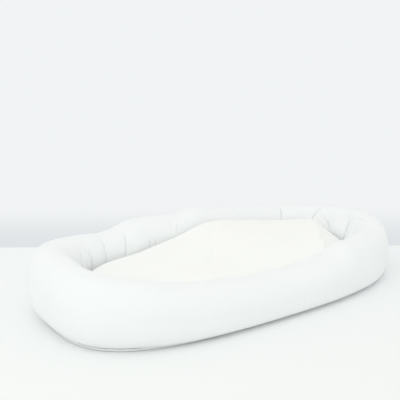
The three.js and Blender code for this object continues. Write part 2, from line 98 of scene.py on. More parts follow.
def mesh_from(bm, name, smooth=True):
    """Ends a bmesh: merges doubles, turns its faces outward and makes a mesh of it."""
    bmesh.ops.remove_doubles(bm, verts=bm.verts[:], dist=MERGE_REACH)
    bmesh.ops.recalc_face_normals(bm, faces=bm.faces[:])
    mesh = bpy.data.meshes.new(name)
    bm.to_mesh(mesh)
    bm.free()
    mesh.polygons.foreach_set("use_smooth", [smooth] * len(mesh.polygons))
    return mesh


def merged(mesh, name):
    """The same mesh with its doubles merged."""
    bm = bmesh.new()
    bm.from_mesh(mesh)
    bpy.data.meshes.remove(mesh)
    return mesh_from(bm, name)


def piece(name, mesh, body, material, stands_for=()):
    """Links a mesh as a named piece that rides on a body and replaces the solids it stands for."""
    made = bpy.data.objects.new(name, mesh)
    scene.collection.objects.link(made)
    mesh.materials.append(material)
    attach(made, body)
    if stands_for:
        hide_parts(*stands_for)
    return made


print("full detail")

# %% [markdown]
# Shader maths reads best as ordinary expressions. One small class wraps a socket, and its operators
# add the Math nodes. Any other node comes from one method that sets the node's own settings first
# and then fills its sockets with numbers or with links.

# %% Shader expressions
class Socket:
    """An output socket that can be used in sums."""

    def __init__(self, tree, out):
        self.tree = tree
        self.out = out

    def _math(self, operation, first, second=None):
        return self.tree.node("ShaderNodeMath", {"operation": operation}, {0: first, 1: second})

    def __add__(self, other):
        return self._math("ADD", self, other)

    def __sub__(self, other):
        return self._math("SUBTRACT", self, other)

    def __mul__(self, other):
        return self._math("MULTIPLY", self, other)

    def __rsub__(self, other):
        return self._math("SUBTRACT", other, self)

    __radd__ = __add__
    __rmul__ = __mul__

    def sine(self):
        return self._math("SINE", self)

    def cosine(self):
        return self._math("COSINE", self)

    def power(self, other):
        return self._math("POWER", self, other)

    def clamped(self):
        return self.tree.node("ShaderNodeClamp", {}, {"Value": self})

    def parts(self):
        """The three numbers of a vector."""
        split = self.tree.node("ShaderNodeSeparateXYZ", {}, {0: self}).out.node
        return [Socket(self.tree, out) for out in split.outputs]


class Tree:
    """The node tree of a material or of the world."""

    def __init__(self, owner):
        self.owner = owner
        owner.use_nodes = True
        self.nodes = owner.node_tree.nodes
        self.links = owner.node_tree.links
        self.nodes.clear()

    def node(self, kind, settings, sockets, out=0):
        """Adds a node, sets it up, fills its sockets and gives one of its outputs, if it has any."""
        made = self.nodes.new(kind)
        for key, value in settings.items():
            setattr(made, key, value)
        for key, value in sockets.items():
            self.fill(made.inputs[key], value)
        return Socket(self, made.outputs[out]) if made.outputs else None

    def fill(self, socket, value):
        """Links a socket, or gives it a plain number or colour."""
        if isinstance(value, Socket):
            self.links.new(value.out, socket)
        elif value is not None:
            socket.default_value = value

    def finish(self, shader, output="ShaderNodeOutputMaterial"):
        """Joins a shader to the tree's output, and gives back the material or the world."""
        self.node(output, {}, {"Surface": shader})
        return self.owner


def material_tree(name, coordinates_of="Object"):
    """The empty tree of a new material, and the place on the surface that its patterns read."""
    tree = Tree(bpy.data.materials.new(name))
    return tree, tree.node("ShaderNodeTexCoord", {}, {}, out=coordinates_of)


def surface(tree, sockets):
    """The finished material, with a plain surface shader."""
    return tree.finish(tree.node("ShaderNodeBsdfPrincipled", {}, sockets))


print("a socket knows", [word for word in vars(Socket) if word.isalpha()])

# %% [markdown]
# The cloth is a soft white cotton jersey. Its stitches are about a millimetre across, too small to
# model, so they are a bump. A gyroid, which is a sum of products of sines, runs evenly over a
# surface that faces any way, so one pattern serves every piece without an unwrapping. Slow noise
# lets the cloth's tone and thickness drift a little, as real cloth's do.

# %% The cloth's pattern
JERSEY_PITCH, JERSEY_DEPTH = 1.1 * MM, 0.12 * MM
DRIFT_SCALE, SLUB_SCALE = 9.0, 420.0
DRIFT_SHARE = 0.75
STITCH_SHARE, STITCH_STRENGTH = 0.5, 0.35
QUILT_ROUNDNESS, QUILT_HEIGHT = 0.3, 2.5 * MM


def mixed(tree, factor, first, second):
    """A blend of two colours."""
    sockets = {"Factor": factor, 6: first, 7: second}
    return tree.node("ShaderNodeMix", {"data_type": "RGBA"}, sockets, out=2)


def gyroid(tree, place, pitch):
    """An even pattern of small stitches, from -1 to 1, with the given pitch."""
    scaled = {0: place, "Scale": 2 * math.pi / pitch}
    x, y, z = tree.node("ShaderNodeVectorMath", {"operation": "SCALE"}, scaled).parts()
    return x.sine() * y.cosine() + y.sine() * z.cosine() + z.sine() * x.cosine()


def noise_node(tree, place, scale, detail):
    """Soft noise from 0 to 1."""
    return tree.node("ShaderNodeTexNoise", {}, {"Vector": place, "Scale": scale, "Detail": detail})


def bump_node(tree, strength, distance, height, under=None):
    """Fine relief, over another one if there is one under it."""
    sockets = {"Strength": strength, "Distance": distance, "Height": height, "Normal": under}
    return tree.node("ShaderNodeBump", {}, sockets)


def cloth(name, light, dark, pitch=JERSEY_PITCH, depth=JERSEY_DEPTH, roughness=0.92, sheen=0.25,
          quilt=0.0):
    """Pale cloth with a fine stitch, a slow drift of tone, a soft sheen and, if asked, a quilting."""
    tree, place = material_tree(name)
    drift = noise_node(tree, place, scale=DRIFT_SCALE, detail=3.0)
    slub = noise_node(tree, place, scale=SLUB_SCALE, detail=2.0)
    tone = (drift * DRIFT_SHARE + slub * (1 - DRIFT_SHARE)).clamped()
    relief = bump_node(tree, STITCH_STRENGTH, depth, gyroid(tree, place, pitch) * STITCH_SHARE + slub)
    if quilt:
        x, y, _ = place.parts()
        rows = ((x + y) * (math.pi / quilt)).sine() * ((x - y) * (math.pi / quilt)).sine()
        relief = bump_node(tree, 1.0, QUILT_HEIGHT, (rows * rows).power(QUILT_ROUNDNESS), relief)
    return surface(tree, {"Base Color": mixed(tree, tone, dark, light), "Roughness": roughness,
                          "Normal": relief, "Sheen Weight": sheen, "Sheen Roughness": 0.5,
                          "Specular IOR Level": 0.25})


print("a jersey stitch is", round(JERSEY_PITCH / MM, 2), "mm across")

# %% [markdown]
# The ring and the pad are two lots of jersey, the pad's a little warmer. The base is plain cotton,
# quilted on the outside. The same function makes the binding tape, the label's satin and even the
# fillings, with other colours and another pitch, because a new function for each would only repeat
# it.

# %% The cloth materials
RING_WHITE = cloth("ring_jersey", (0.93, 0.945, 0.948, 1), (0.905, 0.928, 0.93, 1))
PAD_WHITE = cloth("pad_jersey", (0.972, 0.975, 0.96, 1), (0.955, 0.958, 0.943, 1))
COTTON = (0.86, 0.88, 0.89, 1), (0.82, 0.845, 0.855, 1)
BASE_WHITE = cloth("base_cotton", *COTTON, pitch=0.8 * MM)
BINDING_WHITE = cloth("binding_tape", (0.88, 0.9, 0.91, 1), (0.84, 0.865, 0.875, 1), pitch=0.6 * MM)
QUILT_WHITE = cloth("quilted_cotton", *COTTON, pitch=0.8 * MM, quilt=45 * MM)
LABEL_WHITE = cloth("label_satin", (0.93, 0.93, 0.93, 1), (0.9, 0.9, 0.9, 1), pitch=0.4 * MM,
                    depth=0.04 * MM, roughness=0.5, sheen=0.1)
FOAM_CREAM = cloth("foam_block", (0.86, 0.82, 0.68, 1), (0.8, 0.75, 0.6, 1), pitch=1.6 * MM,
                   depth=0.4 * MM, sheen=0.0)
FIBRE_WHITE = cloth("fibre_filling", (0.93, 0.93, 0.92, 1), (0.88, 0.88, 0.87, 1), pitch=2.6 * MM,
                    depth=0.5 * MM)
print("cloth:", [m.name for m in bpy.data.materials])

# %% [markdown]
# The ring is one long stuffed tube that comes back on itself. Its middle line is a superellipse, an
# oval with squarer corners. The tube is tallest at the foot end, lower on the near side, where the
# stuffing has been pressed down, and narrower at the head. A cloth simulation could blow such a
# tube up, but its swellings would come where they like. Here a few numbers give the width and the
# height anywhere round the oval, so that each swelling can be put where it belongs.

# %% The ring's line and its swelling
RING_LENGTH, RING_WIDTH, RING_CORNER = 0.900, 0.482, 3.2
SIDE_WIDTH, FOOT_WIDTH, HEAD_WIDTH = 0.106, 0.103, 0.080
NEAR_HEIGHT, FAR_HEIGHT, FOOT_HEIGHT, HEAD_HEIGHT = 0.094, 0.140, 0.151, 0.132
END_EASE = 1.5
TRACE_POINTS = 4001

spine_x = (RING_LENGTH - SIDE_WIDTH) / 2
spine_y = (RING_WIDTH - SIDE_WIDTH) / 2


def superellipse(angle, half_x, half_y, exponent):
    """Points of a superellipse at the given angles."""
    c, s = np.cos(angle), np.sin(angle)
    bend = 2 / exponent
    return half_x * np.sign(c) * np.abs(c) ** bend, half_y * np.sign(s) * np.abs(s) ** bend


# Where the stuffing stands higher or lower than the even tube: a share of the way round, and mm.
SWELLS = (
    (0.000, 0.5), (0.022, -5.5), (0.054, -13.5), (0.088, -9.0), (0.120, -4.0), (0.160, -1.0),
    (0.207, 1.4), (0.230, 4.7), (0.250, -2.0), (0.275, 0.7), (0.297, 3.4), (0.317, 4.9),
    (0.328, -2.8), (0.340, -7.8), (0.356, -9.5), (0.370, -3.3), (0.388, 0.8), (0.421, 6.0),
    (0.450, 4.0), (0.490, 0.0), (0.832, 0.0), (0.855, 14.0), (0.880, 8.5), (0.920, 0.0),
    (0.956, 4.5), (0.974, 6.0), (1.000, 0.5),
)


def swell(place):
    """The stuffing's change in height at shares of the way round."""
    places, changes = np.array(SWELLS).T
    place = np.mod(place, 1)
    i = np.clip(np.searchsorted(places, place, side="right") - 1, 0, len(places) - 2)
    t = (place - places[i]) / (places[i + 1] - places[i])
    t = t * t * (3 - 2 * t)
    return (changes[i] + (changes[i + 1] - changes[i]) * t) * MM


trace_angles = np.linspace(0, 2 * np.pi, TRACE_POINTS)
trace = np.stack(superellipse(trace_angles, spine_x, spine_y, RING_CORNER), axis=1)
trace_length = np.concatenate([[0], np.cumsum(np.linalg.norm(np.diff(trace, axis=0), axis=1))])
SPINE_LENGTH = float(trace_length[-1])


def stations(place):
    """The tube's middle, outward direction, half width and half height at shares of the way round."""
    along = np.mod(place, 1) * SPINE_LENGTH
    x = np.interp(along, trace_length, trace[:, 0])
    y = np.interp(along, trace_length, trace[:, 1])
    out_x = np.sign(x) * np.abs(x / spine_x) ** (RING_CORNER - 1) / spine_x
    out_y = np.sign(y) * np.abs(y / spine_y) ** (RING_CORNER - 1) / spine_y
    size = np.hypot(out_x, out_y)
    outward = np.stack([out_x / size, out_y / size], axis=-1)
    foot = np.clip(-x / spine_x, 0, 1) ** END_EASE
    head = np.clip(x / spine_x, 0, 1) ** END_EASE
    middle = np.cos(np.pi / 2 * np.clip(np.abs(x / spine_x), 0, 1)) ** 2
    far = middle * np.clip(y / spine_y, 0, 1) ** 2
    width = SIDE_WIDTH + (FOOT_WIDTH - SIDE_WIDTH) * foot + (HEAD_WIDTH - SIDE_WIDTH) * head
    height = (NEAR_HEIGHT + (FOOT_HEIGHT - NEAR_HEIGHT) * foot + (HEAD_HEIGHT - NEAR_HEIGHT) * head
              + (FAR_HEIGHT - NEAR_HEIGHT) * far + swell(place))
    centre = np.stack([x, y], axis=-1) + outward * ((SIDE_WIDTH - width) / 2)[..., None]
    return centre, outward, width / 2, height / 2


print("the ring's line is", round(SPINE_LENGTH, 3), "m round")

# %% [markdown]
# Along the inner wall the cover is drawn in by a seam, and each gather runs up the wall as a crease
# between two soft swellings. A crease has a shallow valley and a narrow deep fold in its middle,
# which is where the dark line comes from. Most creases end before they reach the top; a few run
# over it and notch the ring's outline. They could be sculpted with a brush, but a table can be
# read, and one line of it can be moved by itself. Each line gives the fold's place round the ring
# at its upper end and at its lower end, the angles round the tube where it starts and ends, and the
# depths of the valley and of the fold in millimetres. The angle is 0 on the outer side, 90 on top
# and 180 inside.

# %% The gathers' table
GATHERS = [
    # upper place, lower place, upper angle, lower angle, valley depth, fold depth
    (0.019, 0.001, 150, 173, 2.0, 8.0),
    (0.034, 0.0455, 94, 176, 4.4, 12.0),
    (0.092, 0.094, 99, 176, 2.6, 8.0),
    (0.130, 0.130, 150, 225, 1.6, 2.0),
    (0.165, 0.167, 122, 146, 1.6, 3.0),
    (0.213, 0.214, 150, 220, 1.6, 2.0),
    (0.259, 0.263, 130, 156, 1.6, 4.0),
    (0.267, 0.269, 121, 156, 2.0, 4.0),
    (0.295, 0.298, 156, 220, 2.6, 5.0),
    (0.303, 0.300, 156, 220, 2.6, 5.0),
    (0.332, 0.342, 114, 200, 2.6, 6.5),
    (0.364, 0.372, 100, 226, 4.2, 6.5),
    (0.390, 0.396, 136, 236, 4.2, 6.0),
    (0.409, 0.414, 141, 190, 3.4, 5.5),
    (0.432, 0.428, 142, 236, 3.2, 4.0),
    (0.460, 0.457, 134, 236, 3.4, 4.5),
    (0.490, 0.491, 138, 236, 3.6, 4.5),
    (0.520, 0.524, 130, 236, 3.4, 4.5),
    (0.542, 0.548, 74, 104, 0.8, 4.5),
    (0.548, 0.546, 138, 236, 3.6, 4.5),
    (0.575, 0.578, 132, 236, 3.4, 4.0),
    (0.610, 0.606, 136, 236, 3.4, 4.0),
    (0.660, 0.662, 140, 230, 3.0, 3.6),
    (0.715, 0.716, 146, 230, 2.4, 3.0),
    (0.770, 0.768, 146, 230, 2.0, 2.6),
    (0.820, 0.822, 144, 230, 2.2, 2.8),
    (0.865, 0.862, 138, 232, 3.0, 3.6),
    (0.896, 0.888, 78, 113, 2.2, 9.0),
    (0.910, 0.913, 138, 236, 3.4, 4.0),
    (0.949, 0.967, 111, 132, 1.4, 3.6),
    (0.979, 0.972, 139, 196, 9.5, 17.0),
]
print(len(GATHERS), "gathers")

# %% [markdown]
# The distance from a gather's line decides how deep the cloth is drawn in. The valley starts a
# little above the fold and falls off slowly to both sides, and the fold falls off within a
# millimetre. Such a narrow fold would slip between the points of an even mesh, so the points are
# crowded towards the gathers.

# %% The gathers' depth
VALLEY_REACH, VALLEY_ROUND, VALLEY_EARLY, VALLEY_SKEW = 13 * MM, 2 * MM, 0.35, 0.9
FOLD_REACH, FOLD_STEEP, FOLD_SKEW, FOLD_EVEN = 1.15 * MM, 1.4, 0.7, 0.45
FOLD_SHARE = 0.65
ANGLE_TO_LENGTH = 1.1 * MM
CROWD_REACH, CROWD_PULL = 16 * MM, 0.62


def gap_to(place, line):
    """The shorter way round from a line to a place, as a share of the ring."""
    return np.mod(place - line + 0.5, 1) - 0.5


def gather_distance(place, degrees, gather):
    """How far points lie from a gather's line, how far down it they are, and the line's place."""
    upper, lower, top, bottom = gather[:4]
    down = (degrees - top) / (bottom - top)
    line = upper + (lower - upper) * np.clip(down, 0, 1)
    slant = (lower - upper) * SPINE_LENGTH / ((bottom - top) * ANGLE_TO_LENGTH)
    return np.abs(gap_to(place, line)) * SPINE_LENGTH / math.hypot(1, slant), down, line


def crowd(place, angle):
    """Moves shares of the way round towards the gathers, so that a fold has enough points."""
    degrees = np.degrees(angle)
    for gather in GATHERS:
        distance, _, line = gather_distance(place, degrees, gather)
        place = line + gap_to(place, line) * (1 - CROWD_PULL * np.exp(-(distance / CROWD_REACH) ** 2))
    return np.mod(place, 1)


def gather_depth(place, angle):
    """How far the cover is drawn in at places round the ring and angles round the tube."""
    degrees = np.degrees(angle)
    valley = np.zeros_like(degrees)
    fold = np.zeros_like(degrees)
    for gather in GATHERS:
        distance, down, _ = gather_distance(place, degrees, gather)
        deep, sharp = gather[4], gather[5] * FOLD_SHARE
        early = np.clip((down + VALLEY_EARLY) / (1 + VALLEY_EARLY), 0, 1)
        wide_fade = np.sin(np.pi * early ** VALLEY_SKEW)
        fold_fade = np.sin(np.pi * np.clip(down, 0, 1) ** FOLD_SKEW) ** FOLD_EVEN
        wide = np.exp(-np.hypot(distance, VALLEY_ROUND) / VALLEY_REACH)
        valley = np.maximum(valley, deep * wide_fade * wide)
        fold = np.maximum(fold, sharp * fold_fade * np.exp(-(distance / FOLD_REACH) ** FOLD_STEEP))
    return (valley + fold) * MM


upper, lower, top, bottom = np.array(GATHERS).T[:4]
deepest = gather_depth((upper + lower) / 2, np.radians((top + bottom) / 2)).max()
print("the deepest gather draws the cloth in by", round(float(deepest) / MM, 1), "mm")

# %% [markdown]
# The tube itself starts as a flat grid, like a sheet of cloth on the table. One side of the sheet
# goes round the nest and the other goes round the tube, so that each point's two coordinates become
# its place round the ring and its angle round the tube. The rolled sheet's edges meet, and are
# merged. A torus could be bent instead, but a grid's coordinates say plainly where each point
# belongs, and the tapes and layers use it too.

# %% Rolling up a grid
def rolled(name, around, section, shape):
    """A closed ring: a grid that is rolled up both ways and joined where its edges meet."""
    bm = bmesh.new()
    bmesh.ops.create_grid(bm, x_segments=around, y_segments=section, size=0.5)
    mesh = bpy.data.meshes.new(name)
    bm.to_mesh(mesh)
    bm.free()
    flat = coordinates(mesh)
    place = np.mod(np.round(flat[:, 0] + 0.5, 7), 1)
    angle = np.mod(np.round(flat[:, 1] + 0.5, 7), 1) * 2 * np.pi
    place_points(mesh, shape(place, angle))
    return merged(mesh, name)


print("the grid's two directions go round the nest and round the tube")

# %% [markdown]
# A stuffed tube that lies on a table isn't round. Its section is a superellipse too, squarer under
# the outer side, where the cloth is pulled down to the seam, but less so at the foot end, and flat
# where it rests. The inner wall at the head end is a little fuller low down. Last comes slow noise
# along the surface, for the stuffing's unevenness. It stops short of the seam, so that nothing
# there is pushed through the base.

# %% The ring's cover
SECTION_ROUND, UNDER_ROUND, UNDER_EASE, UNDER_TOWARDS = 2.3, 3.5, 1.3, 1.25
HEAD_FULLNESS, HEAD_FULL_HALF, HEAD_FULL_FADE = 15 * MM, 145 * MM, 50 * MM
HEAD_FULL_ANGLE, HEAD_FULL_SPREAD = 186, 26
PANEL_TOP, SEAT = 6 * MM, 0.3 * MM
REST_SOFTNESS = 1.2 * MM
TOP_CLOSER = 0.06
RING_LUMPS, RING_LUMP_SIZE, LUMP_STEP = 2.2 * MM, 0.07, 4 * MM
LUMPS_START, LUMPS_FADE = 12 * MM, 20 * MM
NOISE_SHIFT = (7.1, 3.3, 5.7)
RING_AROUND, RING_SECTION = ((1180, 140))


def slow_noise(points, size, seed):
    """Smooth noise with swellings of about the given size, one value for each point."""
    shift = Vector([seed * step for step in NOISE_SHIFT])
    return np.array([noise.noise(Vector(p) / size + shift) for p in points])


def ring_points(place, angle, inset=0.0):
    """Points of the stuffed tube's surface, drawn in by an inset."""
    centre, outward, half_width, half_height = stations(place)
    at_head = np.clip((HEAD_FULL_HALF - np.abs(centre[:, 1])) / HEAD_FULL_FADE, 0, 1)
    at_head = at_head * (centre[:, 0] > 0)
    low_down = np.exp(-((np.degrees(angle) - HEAD_FULL_ANGLE) / HEAD_FULL_SPREAD) ** 2)
    drawn = inset + gather_depth(place, angle) - HEAD_FULLNESS * at_head * low_down
    wide, high = half_width - drawn, half_height - np.where(np.sin(angle) > 0, drawn, inset)
    at_foot = np.clip(-UNDER_TOWARDS * centre[:, 0] / spine_x, 0, 1) ** 2
    under = UNDER_ROUND - UNDER_EASE * at_foot
    round_by = np.where((np.sin(angle) < 0) & (np.cos(angle) > 0), under, SECTION_ROUND)
    across, up = superellipse(angle, wide, high, round_by)
    rest = PANEL_TOP + SEAT + inset * 0.5
    height = rest + np.logaddexp(0, (half_height + up - rest) / REST_SOFTNESS) * REST_SOFTNESS
    return np.column_stack([centre + outward * across[:, None], height])


def ring_mesh(name, around, section, inset=0.0):
    """The ring's cover, or its filling with an inset, as a mesh."""

    def shape(place, angle):
        angle = angle + TOP_CLOSER * np.sin(2 * angle)
        place = crowd(place, angle)
        points = ring_points(place, angle, inset)
        normals = points - ring_points(place, angle, inset + LUMP_STEP)
        normals /= np.maximum(np.linalg.norm(normals, axis=1, keepdims=True), TINY)
        upper = np.clip((points[:, 2] - LUMPS_START) / LUMPS_FADE, 0, 1)[:, None]
        return points + normals * upper * (RING_LUMPS * slow_noise(points, RING_LUMP_SIZE, 1))[:, None]

    return rolled(name, around, section, shape)


ring = ring_mesh("ring_cover", RING_AROUND, RING_SECTION)
ring = piece("ring_cover", ring, "lounger", RING_WHITE, ["bumper_cover"])
print("ring:", len(ring.data.polygons), "faces, top at", round(coordinates(ring.data)[:, 2].max(), 4))

# %% [markdown]
# The pad is a thick cushion in the nest: low under the feet, rising in a slope towards the head,
# and cut square at the head end. A cube with many cuts makes a good start, because its faces stay
# even squares when they are pulled to the pad's outline. Its height comes from eight places along
# it, at the far edge, in the middle and at the near edge, joined by a smooth curve, so that a
# hollow or a rise is one number.

# %% The pad's outline and height
PAD_FOOT, PAD_HEAD, PAD_HALF_WIDTH = -0.335, 0.344, 0.132
PAD_BOTTOM, PAD_THICKNESS = 0.0144, 0.120
PAD_FOOT_CORNER, PAD_HEAD_CORNER = 3.2, 6.0
FAR_SHARES = (0.57, 0.61, 0.65, 0.805, 1.025, 0.885, 0.715, 0.58)
MIDDLE_SHARES = (0.545, 0.62, 0.665, 0.705, 0.775, 0.765, 0.775, 0.835)
NEAR_SHARES = (0.505, 0.62, 0.68, 0.58, 0.535, 0.61, 0.795, 1.0)
pad_half_length = (PAD_HEAD - PAD_FOOT) / 2
pad_centre = (PAD_HEAD + PAD_FOOT) / 2


def smooth_through(shares, along):
    """A Catmull-Rom curve through evenly spaced values."""
    values = np.array(shares)
    at = np.clip(along, 0, 1) * (len(values) - 1)
    i = np.clip(np.floor(at).astype(int), 0, len(values) - 2)
    t = at - i
    p0, p1 = values[np.maximum(i - 1, 0)], values[i]
    p2, p3 = values[i + 1], values[np.minimum(i + 2, len(values) - 1)]
    a, b = (p2 - p0) / 2, (p3 - p1) / 2
    return (2 * p1 - 2 * p2 + a + b) * t ** 3 + (-3 * p1 + 3 * p2 - 2 * a - b) * t ** 2 + a * t + p1


def pad_height(x, y):
    """How high the pad's crown stands over its bottom."""
    along = (x - PAD_FOOT) / (PAD_HEAD - PAD_FOOT)
    across = np.clip(y / PAD_HALF_WIDTH, -1, 1)
    near, middle, far = (smooth_through(s, along) for s in (NEAR_SHARES, MIDDLE_SHARES, FAR_SHARES))
    curved = (far - near) / 2 * across + ((far + near) / 2 - middle) * across ** 2
    return PAD_THICKNESS * (middle + curved)


def pad_corner(x):
    """The roundness of the outline's corners, which differs between the foot and the head."""
    return np.where(x > 0, PAD_HEAD_CORNER, PAD_FOOT_CORNER)


def on_outline(x, y, inset):
    """Points of a square of half size 1, pulled to the pad's outline and drawn in by an inset."""
    corner = pad_corner(x)
    largest = np.maximum(np.maximum(np.abs(x), np.abs(y)), TINY)
    pull = largest / (np.abs(x) ** corner + np.abs(y) ** corner + TINIEST) ** (1 / corner)
    return (pad_centre + x * pull * (pad_half_length - inset), y * pull * (PAD_HALF_WIDTH - inset))


def edge_distance(x, y):
    """About how far a point lies inside the pad's outline."""
    u, v = np.abs(x - pad_centre) / pad_half_length, np.abs(y) / PAD_HALF_WIDTH
    corner = pad_corner(x - pad_centre)
    reach = (u ** corner + v ** corner + TINIEST) ** (1 / corner)
    slope = np.hypot((u / reach) ** (corner - 1) / pad_half_length,
                     (v / reach) ** (corner - 1) / PAD_HALF_WIDTH)
    return (1 - reach) / np.maximum(slope, NEARLY)


print("pad:", round(PAD_HEAD - PAD_FOOT, 3), "by", 2 * PAD_HALF_WIDTH, "m")

# %% [markdown]
# Seen from the side, the pad's edge goes up from the seam, bulges a little, and turns over a full
# shoulder into the crown. The near side and the head end lean out a little at the top. The inset
# and the share of the height are given at a few points down the wall and in from the rim, and
# softly joined, so that a layer inside follows the cover from the same numbers.

# %% The pad's wall and crown
WALL_DOWN = np.array([0.0, 0.3, 0.62, 1.0])
WALL_INSET = np.array([8.0, 2.0, 0.0, 4.0]) * MM
WALL_SHARE = np.array([0.90, 0.68, 0.32, 0.0])
CROWN_INSET = np.array([0.0, 8.0, 22.0, 58.0]) * MM
CROWN_SHARE = np.array([0.84, 0.90, 0.975, 1.0])
EASE_STEPS, EASE_REACH = 200, 15
NEAR_BULGE, HEAD_BULGE, BULGE_DOWN, BULGE_REACH = 10 * MM, 8 * MM, 0.5, 1.25


def eased(values, knots, results):
    """Values read off a soft curve through the knots."""
    fine = np.linspace(knots[0], knots[-1], EASE_STEPS)
    line = np.pad(np.interp(fine, knots, results), EASE_REACH, mode="edge")
    kernel = np.hanning(2 * EASE_REACH + 1)
    return np.interp(values, fine, np.convolve(line, kernel / kernel.sum(), mode="valid"))


def leaning(towards, beside, down):
    """How much a side leans out: most at its top and in its middle, and less towards its ends."""
    middle = np.clip(BULGE_REACH - BULGE_REACH * np.abs(beside) ** 6, 0, 1)
    return np.clip(towards, 0, 1) ** 4 * middle * np.clip(1 - down / BULGE_DOWN, 0, 1)


overhang = float(WALL_INSET[0] - WALL_INSET.min())
print("the wall bulges", round(overhang / MM, 1), "mm past the rim")

# %% [markdown]
# The pad has been lain on. Two shallow creases cross its slope, there is a dimple near the head,
# and the corner at the near head end slopes away beyond a soft ridge. Each mark is a line with a
# depth and a reach, pressed into the height, which is easier to place exactly than a brush stroke.

# %% The marks of use
# each mark's start, its end, its depth and its reach
USE_MARKS = (
    ((0.058, 0.111), (-0.069, -0.065), 2.8 * MM, 6 * MM),
    ((-0.080, 0.100), (-0.150, -0.050), 0.8 * MM, 12 * MM),
    ((0.172, -0.060), (0.184, -0.070), 1.6 * MM, 12 * MM),
)
CORNER_RIDGE, CORNER_TOWARDS, CORNER_SLOPE = (0.292, -0.015), (0.82, -0.57), 0.8
RIDGE_SOFTNESS, RIDGE_RISE, RIDGE_REACH = 2 * MM, 1.5 * MM, 5 * MM


def line_distance(x, y, start, end):
    """How far points lie from a line between two places."""
    start, end = np.array(start), np.array(end)
    d = end - start
    along = np.clip(((x - start[0]) * d[0] + (y - start[1]) * d[1]) / (d @ d), 0, 1)
    return np.hypot(x - start[0] - along * d[0], y - start[1] - along * d[1])


def use_marks(x, y):
    """How far the pad's top is pressed in by the marks, and by the slope at its near head corner."""
    pressed = np.zeros_like(x)
    for start, end, deep, reach in USE_MARKS:
        pressed += deep * np.exp(-(line_distance(x, y, start, end) / reach) ** 2)
    beyond = (x - CORNER_RIDGE[0]) * CORNER_TOWARDS[0] + (y - CORNER_RIDGE[1]) * CORNER_TOWARDS[1]
    pressed -= RIDGE_RISE * np.exp(-(beyond / RIDGE_REACH) ** 2)
    return pressed + CORNER_SLOPE * RIDGE_SOFTNESS * np.logaddexp(0, beyond / RIDGE_SOFTNESS)


print(len(USE_MARKS), "marks of use and a sloping corner")

# %% [markdown]
# Now the cube. Its points on the four walls go down the wall's profile, those on top follow the
# crown and the marks, and those below stay flat, a little over the pad's own bottom, so that the
# underside fits beneath. Slow noise keeps the top from looking moulded.

# %% The pad's cover
PAD_CUTS = ((124, 52, 18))
COVER_RISE = 2.3 * MM
PAD_LUMPS, PAD_LUMP_SIZE, PAD_LUMP_FADE = 2 * MM, 0.09, 30 * MM


def cut_cube(cuts):
    """A cube of half size 1 whose edges along X, Y and Z are cut into even parts."""
    bm = bmesh.new()
    bmesh.ops.create_cube(bm, size=2.0)
    for axis, count in enumerate(cuts):
        along = [e for e in bm.edges if abs((e.verts[0].co - e.verts[1].co)[axis]) > NEARLY]
        bmesh.ops.subdivide_edges(bm, edges=along, cuts=count - 1, use_grid_fill=True)
    return bm


def pad_points(cube, inset, bottom):
    """The cut cube's points, shaped to the pad, drawn in by an inset and flat at its bottom."""
    x, y, z = cube[:, 0], cube[:, 1], cube[:, 2]
    on_wall = np.maximum(np.abs(x), np.abs(y)) > 1 - NEARLY
    down = np.where(on_wall, (1 - z) / 2, np.where(z > 0, 0.0, 1.0))
    wall_inset = eased(down, WALL_DOWN, WALL_INSET) + inset
    edge = edge_distance(*on_outline(x, y, wall_inset))
    bulge = NEAR_BULGE * leaning(-y, x, down) + HEAD_BULGE * leaning(x, y, down)
    px, py = on_outline(x, y, wall_inset - bulge)
    crown = eased(np.clip(edge, 0, CROWN_INSET[-1]), CROWN_INSET, CROWN_SHARE)
    share = np.where(on_wall & (down > 0), eased(down, WALL_DOWN, WALL_SHARE), crown)
    share = np.where((z < 0) & (down >= 1), 0.0, share)
    rise = PAD_BOTTOM + share * (pad_height(px, py) - inset - use_marks(px, py))
    return np.column_stack([px, py, np.maximum(rise, bottom)])


def pad_mesh(name, cuts, inset=0.0, bottom=PAD_BOTTOM):
    """The pad, or a layer inside it, as a mesh."""
    mesh = mesh_from(cut_cube(cuts), name)
    points = pad_points(coordinates(mesh), inset, bottom)
    high = np.clip((points[:, 2] - bottom) / PAD_LUMP_FADE, 0, 1)
    points[:, 2] += high * PAD_LUMPS * slow_noise(points, PAD_LUMP_SIZE, 2)
    place_points(mesh, points)
    return mesh


pad_cover = pad_mesh("pad_cover", PAD_CUTS, bottom=PAD_BOTTOM + COVER_RISE)
pad_cover = piece("pad_cover", pad_cover, "pad", PAD_WHITE, ["pad_cover_top"])
print("pad cover:", len(pad_cover.data.polygons), "faces")

# %% [markdown]
# The pad's zip sits in an opening at the head end, low on the wall, with the cover's cloth turned
# in round it. Four planes cut the mesh along the opening's sides, the faces between them are
# extruded inwards, and the first ones are deleted. A Boolean would cut it too, but it leaves a
# plain hole with no turned-in edge.

# %% The opening for the pad's zip
WINDOW_HALF = 77 * MM
WINDOW_LOW, WINDOW_HIGH = 19.5 * MM, 36.5 * MM
WINDOW_BACK = PAD_HEAD - 13.3 * MM
END_WALL, END_TOP = PAD_HEAD - 25 * MM, 60 * MM
FOLDED_EDGE = math.radians(50)


def in_window(face):
    """Whether a face lies inside the opening's outline."""
    x, y, z = face.calc_center_median()
    return x > END_WALL and abs(y) < WINDOW_HALF and WINDOW_LOW < z < WINDOW_HIGH


def middle_of(face):
    """A face's middle as plain numbers, to sort faces by."""
    return tuple(face.calc_center_median())


